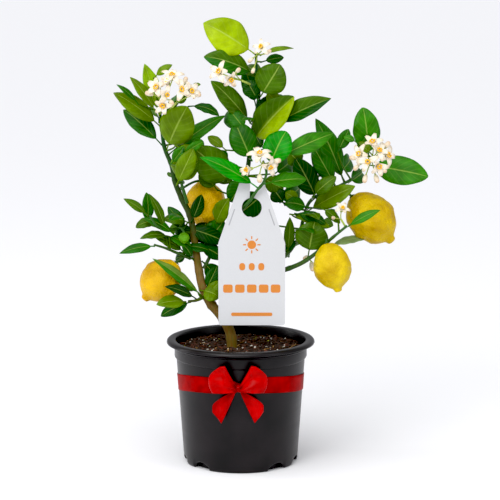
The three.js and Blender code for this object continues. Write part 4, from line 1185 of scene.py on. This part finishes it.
def plate(bm, x, z, width, height, corner, turn=0):
    """A thin plate on the tag's face: a box with rounded corners, x and z from the tag's foot."""
    box = bmesh.ops.create_cube(bm, size=1)["verts"]
    bmesh.ops.scale(bm, vec=(width * MM, 2 * PRINT_RISE, height * MM), verts=box)
    upright = list(dict.fromkeys(e for v in box for e in v.link_edges
                                 if abs(e.verts[0].co.y - e.verts[1].co.y) > PRINT_RISE))
    made = bmesh.ops.bevel(bm, geom=upright, offset=corner * MM, offset_type="OFFSET", segments=5,
                           profile=0.5, affect="EDGES", material=-1)
    verts = list(dict.fromkeys([v for v in box if v.is_valid] + made["verts"]))
    bmesh.ops.rotate(bm, cent=(0, 0, 0), matrix=Matrix.Rotation(turn, 3, "Y"), verts=verts)
    place = (tag_centre + x * MM, print_face + PRINT_RISE, tag_low.z + z * MM)
    bmesh.ops.translate(bm, vec=place, verts=verts)


bm = start()
plate(bm, 0, 103, 11, 11, 5.4)
for ray in range(8):
    angle = ray * math.pi / 4
    plate(bm, 9 * math.cos(angle), 103 + 9 * math.sin(angle), 1.6, 4.2, 0.75, math.pi / 2 - angle)
for drop in (-1, 0, 1):
    plate(bm, drop * 12, 75, 7.5, 9.5, 3.6)
for block in range(5):
    plate(bm, (block - 2) * 15, 47, 12, 10.5, 2.5)
plate(bm, 0, 14, 52, 4.5, 2)
finish_piece(bm, "tag_print", [orange_ink], sharp=30)
bm = start()
for hand in (-1, 1):
    plate(bm, hand * 25, 138, 1.4, 22, 0.6, -hand * 0.335)
finish_piece(bm, "tag_side_print", [grey_ink], sharp=30)

# %% [markdown]
# ## Ribbon round the pot
# A satin ribbon 21 mm wide goes once round the pot, a little higher at the front where the bow
# pulls it. It is a slab wrapped on the pot's taper, a shade off its wall, with fine ripples along
# its edges. Its ends meet under the bow.

# %% Ribbon band
band_low, band_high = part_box("ribbon_band")
RIBBON_WIDTH = 21
RIBBON_RISE = ((band_high.z - band_low.z) / MM - RIBBON_WIDTH) / 2
RIBBON_MIDDLE = (band_high.z + band_low.z) / 2 / MM
BAND_GAP = 0.75
KNOT_PINCH, PINCH_TURN = 0.62, 0.13
knot_low, knot_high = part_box("bow_knot")
knot_centre = (knot_low + knot_high) / 2


def band_shape(u, v, side):
    """u runs once round the pot, and starts and ends at the front."""
    turn = -math.pi / 2 + 2 * math.pi * u
    ripple = 0.35 * math.sin(u * 90 + 2 * v) * v * v + 0.25 * math.sin(u * 37)
    pinch = KNOT_PINCH * math.exp(-(2 * math.pi * min(u, 1 - u) / PINCH_TURN) ** 2)
    middle_z = RIBBON_MIDDLE - RIBBON_RISE * math.sin(turn) + 0.4 * math.sin(u * 31)
    middle_z += (knot_centre.z / MM - middle_z) * pinch
    z = middle_z + v * RIBBON_WIDTH / 2 * (1 - pinch)
    radius = body_radius(z) + BAND_GAP + ripple * 0.5 + 0.5 * side
    return point(radius * math.cos(turn), radius * math.sin(turn), z)


bm = start()
slab(bm, band_shape, 240, 8)
band = finish_piece(bm, "ribbon_round_pot", [shaded_band_satin], ["ribbon_band"])

# %% [markdown]
# ## The bow
# A bow is one ribbon folded into two loops and two tails, and pinched by a knot. Each loop is a
# slab that leaves the knot in tight pleats, opens as it goes out, turns over, and comes back behind.
# The tails fan out below, cut to a point. A short wrap covers the pinch.

# %% Loops
def loop_shape(hand, low, high):
    """A loop between its CAD box's corners: u runs out along the front and back behind."""
    reach = (high.x - low.x) + 3 * MM
    inner = knot_centre.x + hand * 2 * MM
    tall = high.z - low.z

    def shape(u, v, side):
        bend = math.pi * u
        out = math.sin(bend) ** 0.7
        open_by = min(1, out * 1.9) ** 0.9
        height = 7 * MM + (tall - 7 * MM) * open_by
        x = inner + hand * reach * out * (1 - (0.42 * max(0, v) ** 2 + 0.14 * max(0, -v) ** 3) * out)
        depth = math.cos(bend)
        pleat = 1.8 * MM * math.sin(v * 6 + hand) * (1 - 0.6 * open_by) + 1.5 * MM * math.sin(v * 3 + 5 * u)
        y = (low.y + high.y) / 2 - depth * (high.y - low.y) * 0.42 * min(1, out * 1.6 + 0.25) + pleat
        z = knot_centre.z + (low.z + high.z - 2 * knot_centre.z) / 2 * open_by + v * height / 2
        z += 1.5 * MM * depth * out
        return Vector((x, y, z)) + Vector((hand * out, -depth, 0)).normalized() * side * 0.5 * MM

    return shape


for side_name, hand in (("left", -1), ("right", 1)):
    low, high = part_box(f"bow_loop_{side_name}")
    bm = start()
    slab(bm, loop_shape(hand, low, high), 44, 22)
    loop = finish_piece(bm, f"bow_loop_{side_name}_satin", [satin], [f"bow_loop_{side_name}"])

# %% [markdown]
# ## Tails
# A tail leaves the knot narrow, widens within a few centimetres, and is cut at a slant. It is the
# same kind of slab as a loop, with a shape of its own.

# %% Tails
def tail_shape(hand, low, high):
    """A tail between its CAD box's corners: u runs down from the knot, v out from the middle."""
    def shape(u, v, side):
        z = high.z + 1 * MM - (high.z - low.z) * u * (1 - 0.36 * max(0, (v + 1) / 2) * u ** 2)
        inner = hand * (2.5 * MM + (high.x - low.x - 6 * MM) * u ** 1.1 * 0.82)
        outer = hand * (5 * MM + (high.x - low.x - 1.5 * MM) * math.sin(math.pi / 2 * min(1, u * 1.9)))
        x = knot_centre.x + inner + (outer - inner) * (v + 1) / 2
        fold = 1.5 * MM * math.sin(v * 3.2 + 3 * u + hand) * (0.5 + 0.5 * u)
        y = (low.y + high.y) / 2 - 1.8 * MM + fold + side * 0.5 * MM
        return Vector((x, y, z))

    return shape


for side_name, hand in (("left", -1), ("right", 1)):
    low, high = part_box(f"bow_tail_{side_name}")
    bm = start()
    slab(bm, tail_shape(hand, low, high), 26, 12)
    tail = finish_piece(bm, f"bow_tail_{side_name}_satin", [satin], [f"bow_tail_{side_name}"])

# %% [markdown]
# ## Knot
# A short length of ribbon goes round the pinch. It is a slab bent upright round both loops, with
# pleats across it, and its ends meet behind.

# %% Knot wrap
def knot_shape(u, v, side):
    """A ribbon wrapped once round the pinch, upright, with pleats across it."""
    bend = 2 * math.pi * u
    half = (knot_high - knot_low) / 2
    pleat = 1 + 0.08 * math.sin(v * 9 + 0.7 * math.sin(bend)) + 0.04 * side
    pinch = 1 - 0.16 * v * v
    return knot_centre + Vector((half.x * v * (1 - 0.06 * math.cos(bend)),
                                 -half.y * math.cos(bend) * pleat * pinch - 1.2 * MM,
                                 half.z * math.sin(bend) * pleat * pinch))


bm = start()
slab(bm, knot_shape, 28, 12)
knot = finish_piece(bm, "bow_knot_wrap", [satin], ["bow_knot"])

# %% [markdown]
# ## Studio
# The tree stands on a wide pale floor in soft light: a large key from the upper left, a fill from
# the right and a bright even surround, so shadows are faint. A long lens three metres away gives the
# flat perspective of a catalogue view.

# %% Floor, lights and camera
bm = bmesh.new()
bmesh.ops.create_grid(bm, x_segments=2, y_segments=2, size=30)
mesh = bpy.data.meshes.new("studio_floor")
bm.to_mesh(mesh)
bm.free()
floor = bpy.data.objects.new("studio_floor", mesh)
bpy.context.scene.collection.objects.link(floor)
floor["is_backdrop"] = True
floor_paper, shader = surface("seamless_paper", "#FAFAFC", 0.9)
mesh.materials.append(floor_paper)

world = bpy.data.worlds.new("soft_surround")
world.use_nodes = True
world.node_tree.nodes["Background"].inputs["Color"].default_value = linear("#F7F8FC")
world.node_tree.nodes["Background"].inputs["Strength"].default_value = 0.58
bpy.context.scene.world = world


def softbox(name, place, aim, size, power):
    lamp = bpy.data.lights.new(name, "AREA")
    lamp.shape, lamp.size, lamp.size_y, lamp.energy = "RECTANGLE", size[0], size[1], power
    holder = bpy.data.objects.new(name, lamp)
    holder.location = place
    holder.rotation_euler = (Vector(aim) - Vector(place)).to_track_quat("-Z", "Y").to_euler()
    bpy.context.scene.collection.objects.link(holder)


softbox("key_upper_left", (-1.2, -1.9, 1.7), (0, 0, 0.3), (1.1, 1.1), 13)
softbox("fill_right", (1.8, -1.2, 1.0), (0, 0, 0.3), (0.6, 1.6), 5)
softbox("edge_left", (-1.6, 0.3, 0.6), (0, 0, 0.15), (0.3, 1.4), 5)
softbox("strip_above_front", (-0.2, -1.5, 1.5), (0, 0, 0.15), (1.3, 0.08), 4)
sky = bpy.data.lights.new("overhead_silk", "SUN")
sky.energy, sky.angle = 1.65, math.radians(70)
overhead = bpy.data.objects.new("overhead_silk", sky)
overhead.rotation_euler = (math.radians(32), math.radians(-14), 0)
bpy.context.scene.collection.objects.link(overhead)

CAMERA_PLACE = (0.012, -2.9, 0.77)
CAMERA_PITCH = 9.69
LENS_MM, SENSOR_MM = 166, 36
BLACK_LEVEL = 0.011
camera = bpy.data.objects.new("catalogue_camera", bpy.data.cameras.new("catalogue_camera"))
camera.location = CAMERA_PLACE
camera.rotation_euler = (math.radians(90 - CAMERA_PITCH), 0, 0)
camera.data.lens = LENS_MM
camera.data.sensor_width = SENSOR_MM
bpy.context.scene.collection.objects.link(camera)
bpy.context.scene.camera = camera
view = bpy.context.scene.view_settings
view.view_transform = "Standard"
view.use_curve_mapping = True
view.curve_mapping.black_level = (BLACK_LEVEL, BLACK_LEVEL, BLACK_LEVEL)
view.curve_mapping.update()

# %% Write the boxes and finish
low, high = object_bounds()
{"cad": [list(cad_low), list(cad_high)], "visual": [list(low), list(high)]}
print("visual box in mm:", [round(x / MM, 1) for x in (*low, *high)])
